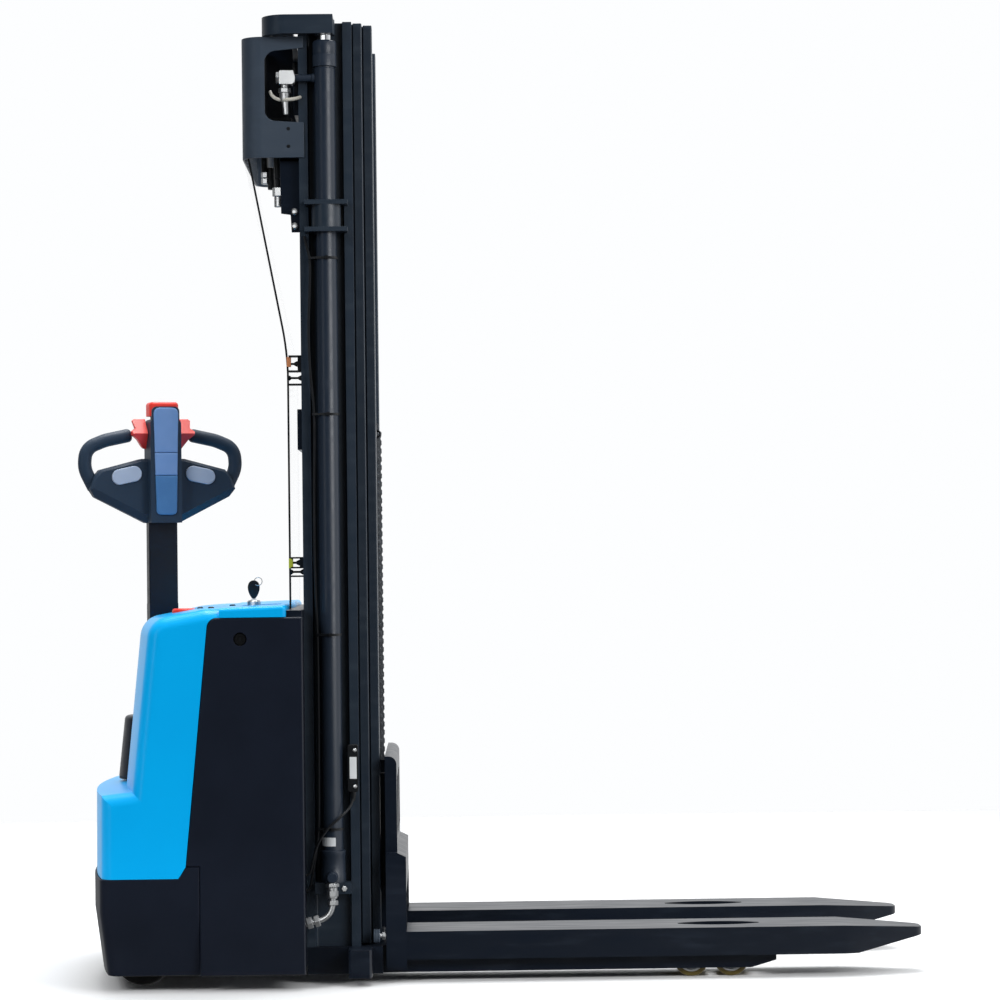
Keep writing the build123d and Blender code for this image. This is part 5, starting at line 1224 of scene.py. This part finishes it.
soft_box("left_key", (-4.6, -5.4, 4.4), (-0.2, 0.0, 0.9), (2.6, 2.6), 270.0, in_gloss=False)
soft_box("right_key", (4.8, -5.0, 4.0), (0.1, 0.0, 0.8), (2.6, 2.6), 200.0, in_gloss=False)
soft_box("top_light", (0.0, 0.6, 5.5), (0.0, 0.0, 0.5), (3.0, 3.0), 270.0)
soft_box("left_strip", (-3.4, -3.2, 1.4), (-0.3, -0.3, 1.1), (0.9, 3.0), 10.0)
print("two key lights, a top light and a strip")

# %% [markdown]
# ## Shaded cards
# Bright cards in front draw the long highlights down the barrels and light the small fittings. Held before
# the whole machine they would wash out its blacks, so each card is linked to the pieces that it is meant
# for.


# %% Cards that light some finishes alone
def card_for(names, lamp):
    """Let a lamp reach only the pieces in some finishes, as a shaded lamp in a studio does."""
    lit = bpy.data.collections.new(lamp.name + "_reach")
    wanted = {finishes[name] for name in names}
    for dressed in list(bpy.context.scene.objects):
        if dressed.type == "MESH" and wanted & set(dressed.data.materials):
            lit.objects.link(dressed)
    lamp.light_linking.receiver_collection = lit


card_for(["steel", "rod_chrome", "chain_steel"],
         soft_box("fittings_card", (-1.6, -5.2, 1.6), (-0.4, -0.3, 1.0), (4.0, 3.0), 85.0))
card_for(["cylinder_paint", "mast_paint", "guard_paint"],
         soft_box("mast_card", (2.6, -3.6, 2.2), (-0.3, -0.3, 1.6), (2.6, 2.8), 110.0))

# %% [markdown]
# ## A surround that leaves blacks black
# Gloss shows whatever stands opposite it. With white on every side, black paint would look grey, so studios
# keep the side behind the camera dark. The surround here fades from white above, behind and beyond the
# forks to near black in front of the machine. Seen straight on, as the backdrop, it is plain white.

# %% Studio surround
brightest_way, dark_from, bright_from = (0.65, 0.66, 0.38), -0.6, 0.75
world = bpy.context.scene.world or bpy.data.worlds.new("surround")
bpy.context.scene.world = world
world.use_nodes = True
sky = world.node_tree
way = add(sky, "ShaderNodeTexCoord")
fade = add(sky, "ShaderNodeVectorMath", {0: (way, "Generated"), 1: brightest_way}, operation="DOT_PRODUCT")
glow = add(sky, "ShaderNodeMapRange", {
    "Value": (fade, "Value"), "From Min": dark_from, "From Max": bright_from, "To Min": 0.02, "To Max": 1.0})
ray = add(sky, "ShaderNodeLightPath")
backdrop = add(sky, "ShaderNodeMath", {0: (glow, 0), 1: (ray, "Is Camera Ray")}, operation="MAXIMUM")
fill(sky.nodes["Background"], {"Color": linear("#FDFEFF"), "Strength": (backdrop, 0)})
bpy.context.scene.view_settings.view_transform = "Standard"
print("surround of", len(sky.nodes), "nodes")

# %% [markdown]
# ## Camera
# The camera stands seven metres off at the machine's right side, a little under a metre high, with a long
# lens that keeps the mast's lines nearly parallel. Place, lens and a small roll are those that fit the
# photograph best.

# %% Camera
camera_place, camera_way, camera_roll = (-0.1215, -7.193, 0.952), (0.01973, 1.0, 0.01612), math.radians(0.65)
sensor_mm, lens_mm = 36.0, 112.3


def stand_camera():
    """Camera of a long lens that looks across the machine's right side, rolled a little as the photograph
    is."""
    data = bpy.data.cameras.new("camera")
    data.sensor_width = sensor_mm
    data.lens = lens_mm
    forward = Vector(camera_way).normalized()
    right = Vector((math.cos(camera_roll), 0.0, -math.sin(camera_roll)))
    right = (right - right.dot(forward) * forward).normalized()
    turn = Matrix((right, right.cross(forward), -forward)).transposed().to_4x4()
    camera = bpy.data.objects.new("camera", data)
    camera.matrix_world = Matrix.Translation(camera_place) @ turn
    bpy.context.scene.collection.objects.link(camera)
    bpy.context.scene.camera = camera
    print("camera with a lens of", data.lens, "mm")


stand_camera()
